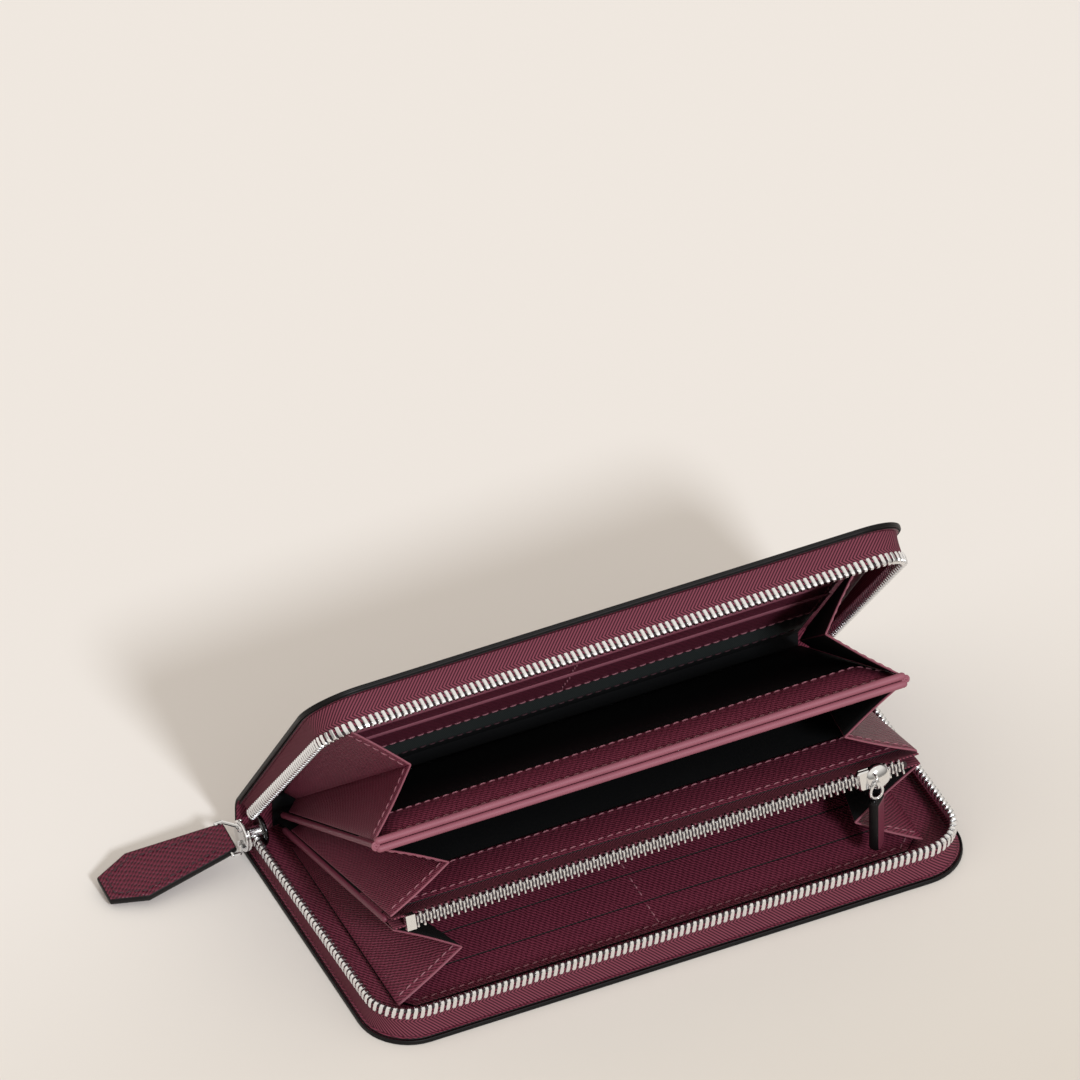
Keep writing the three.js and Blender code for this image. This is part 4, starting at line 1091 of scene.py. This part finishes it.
def makeOuterSlider():
    low, high = cadBox("outer_slider")
    middle = (low + high) / 2
    y, z = middle[1], middle[2]
    size = sliderSizes
    outerX, innerX = low[0] + size["plateInset"], high[0] - size["plateHalf"]
    between = innerX - outerX
    outer = lathe(plateProfile(size["plateRadius"], size["plateHalf"], 0.25), np.array([outerX, y, z]), (-1, 0, 0),
                  (0, 0, 1))
    waist = size["postRadius"] * 0.85
    post = lathe(np.array([[0, -0.2], [size["postRadius"], 0], [waist, 1.2], [waist, between - 1.2],
                           [size["postRadius"], between], [0, between + 0.2]]),
                 np.array([outerX, y, z]), (1, 0, 0), (0, 0, 1), 24)
    lugs, guides = [], []
    for sign in (-1, 1):
        lugZ = z + sign * size["lugAt"]
        lugs.append(roundedBox((low[0], y - size["lugWide"], lugZ - size["lugHalf"]),
                               (outerX + 0.2, y + size["lugWide"], lugZ + size["lugHalf"])))
        turn = np.linspace(-0.9, 0.9, 16)
        bend = size["plateRadius"] - size["guideRadius"]
        arc = np.stack([np.full(16, outerX + 1.0), y + sign * bend * np.cos(turn), z + bend * np.sin(turn)], -1)
        guides.append(tube(arc, size["guideRadius"], (1, 0, 0), 10))
    points, faces = join(outer, post, *lugs, *guides)
    makePiece("outer_slider_casting", points, faces, "lower_half", [brightMetal],
              nodes=("outer_slider",), sharp=35)
    # the inner plate, coloured near black as a painted dark reflection
    points, faces = lathe(plateProfile(size["plateRadius"], size["plateHalf"], 0.12), np.array([innerX, y, z]),
                          (1, 0, 0), (0, 0, 1))
    makePiece("outer_slider_inner_plate", points, faces, "lower_half", [darkReflectionMetal], sharp=35)


def makeCoinSlider():
    leaf, size = "coin", sliderSizes
    x = pivotOf("coin_pull_swing")[0]
    # two blocks as (across, height, forward) corners: the nose and the channel that the teeth run in
    blocks = []
    for low, high in (((x - 4.6, -3.0, 90.9), (x + 1.0, 3.0, 93.0)), ((x - 4.2, -3.2, 90.2), (x + 4.4, 3.2, 91.8))):
        points, faces = roundedBox(low, high, 0.5)
        blocks.append((onLeaf(leaf, points[:, 0], points[:, 2], points[:, 1]), faces))
    t = np.linspace(np.pi / 2, 0, 9)
    dome = np.stack([size["domeRadius"] * np.cos(t), 0.5 + size["domeHigh"] * np.sin(t)], -1)
    under = [[size["domeRadius"], -0.9], [size["domeRadius"] - 0.3, -1.2], [0, -1.2]]
    head = lathe(np.concatenate([dome, under]), onLeaf(leaf, x + 1.6, size["bridgeFoot"], 0), leafOut(leaf),
                 leafNormal(leaf), 32)
    # the bridge: a wire up from the block, across its top and down again, with both bends rounded
    turn = np.linspace(-np.pi / 2, np.pi / 2, 9)
    flat = np.sign(np.sin(turn)) * (np.abs(np.sin(turn)) > 0.01)
    height, bend = size["bridgeHalf"], size["bridgeBend"]
    top = np.stack([size["bridgeTop"] + bend * np.cos(turn), (height - bend) * flat + bend * np.sin(turn)], -1)
    arch = np.concatenate([[[size["bridgeFoot"], -height]], top, [[size["bridgeFoot"], height]]])
    bridge = tube(onLeaf(leaf, x, arch[:, 0], arch[:, 1]), size["bridgeWire"], (1, 0, 0), 10)
    points, faces = join(*blocks, head, bridge)
    makePiece("coin_slider_casting", points, faces, "coin_slider", [brightMetal],
              nodes=("coin_slider",), sharp=35)


makeOuterSlider()
makeCoinSlider()

# CAD nodes that stay as they are, with a finished material
kept = {"pull_bail": brightMetal, "coin_zip_stop": zipMetal, "spine_lining": lining}
for node, material in kept.items():
    mesh = frame["nodes"][node].data
    mesh.materials.clear()
    mesh.materials.append(material)


# Floor, light and camera

view = {"azimuth": -24.18, "elevation": 42.18, "roll": -0.588, "away": 12000, "scale": 3.373,
        "shift": (19.84, -70.88), "target": (0, 0, 30)}
light = {"sun": 2.1, "sunAngle": 8, "sunElevation": 34.6, "sunTurn": 1.5, "sunColour": (0.9, 0.95, 1.0),
         "world": 0.86, "walls": (0.3, 0.285, 0.262, 1), "wallsTo": 0.12, "ceiling": (1.0, 0.955, 0.885, 1),
         "ceilingFrom": 0.62}


def makeStage():
    mesh = bpy.data.meshes.new("floor")
    s, low = 4.0, cadBounds[0][2]
    mesh.from_pydata([(-s, -s, low), (s, -s, low), (s, s, low), (-s, s, low)], [], [(0, 1, 2, 3)])
    mesh.materials.append(studioPaper())
    floor = bpy.data.objects.new("floor", mesh)
    bpy.context.scene.collection.objects.link(floor)
    sun = bpy.data.lights.new("key", "SUN")
    sun.energy, sun.angle = light["sun"], math.radians(light["sunAngle"])
    sun.color = light["sunColour"]
    holder = bpy.data.objects.new("key", sun)
    holder.rotation_euler = (math.radians(90 - light["sunElevation"]), 0, math.radians(light["sunTurn"]))
    bpy.context.scene.collection.objects.link(holder)
    world = bpy.data.worlds.new("studio")
    bpy.context.scene.world = world
    world.use_nodes = True
    # a studio with a bright ceiling and dimmer walls, so that metal has something to mirror
    tree = world.node_tree
    place = addNode(tree, "ShaderNodeTexCoord").outputs["Generated"]
    parts = addNode(tree, "ShaderNodeSeparateXYZ", {"Vector": place})
    ramp = addNode(tree, "ShaderNodeValToRGB", {"Fac": parts.outputs["Z"]})
    walls, ceiling = ramp.color_ramp.elements
    walls.position, walls.color = light["wallsTo"], light["walls"]
    ceiling.position, ceiling.color = light["ceilingFrom"], light["ceiling"]
    back = tree.nodes["Background"]
    tree.links.new(ramp.outputs[0], back.inputs[0])
    back.inputs[1].default_value = light["world"]


def makeCamera():
    a, e, r = (math.radians(view[k]) for k in ("azimuth", "elevation", "roll"))
    ahead = np.array([-math.sin(a) * math.cos(e), math.cos(a) * math.cos(e), -math.sin(e)])
    right = np.array([math.cos(a), math.sin(a), 0])
    up = np.cross(right, ahead)
    right, up = right * math.cos(r) + up * math.sin(r), up * math.cos(r) - right * math.sin(r)
    target = np.array(view["target"]) - view["shift"][0] * right - view["shift"][1] * up
    place = (target - ahead * view["away"]) * 0.001
    camera = bpy.data.cameras.new("camera")
    camera.lens = view["scale"] * view["away"] * 36 / 1080
    camera.clip_end = 50
    holder = bpy.data.objects.new("camera", camera)
    holder.matrix_world = Matrix([(*row, place[i]) for i, row in enumerate(np.stack([right, up, -ahead], 1))]
                                 + [(0, 0, 0, 1)])
    bpy.context.scene.collection.objects.link(holder)
    bpy.context.scene.camera = holder


makeStage()
makeCamera()
bpy.context.scene.view_settings.view_transform = "Standard"
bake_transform(skin)
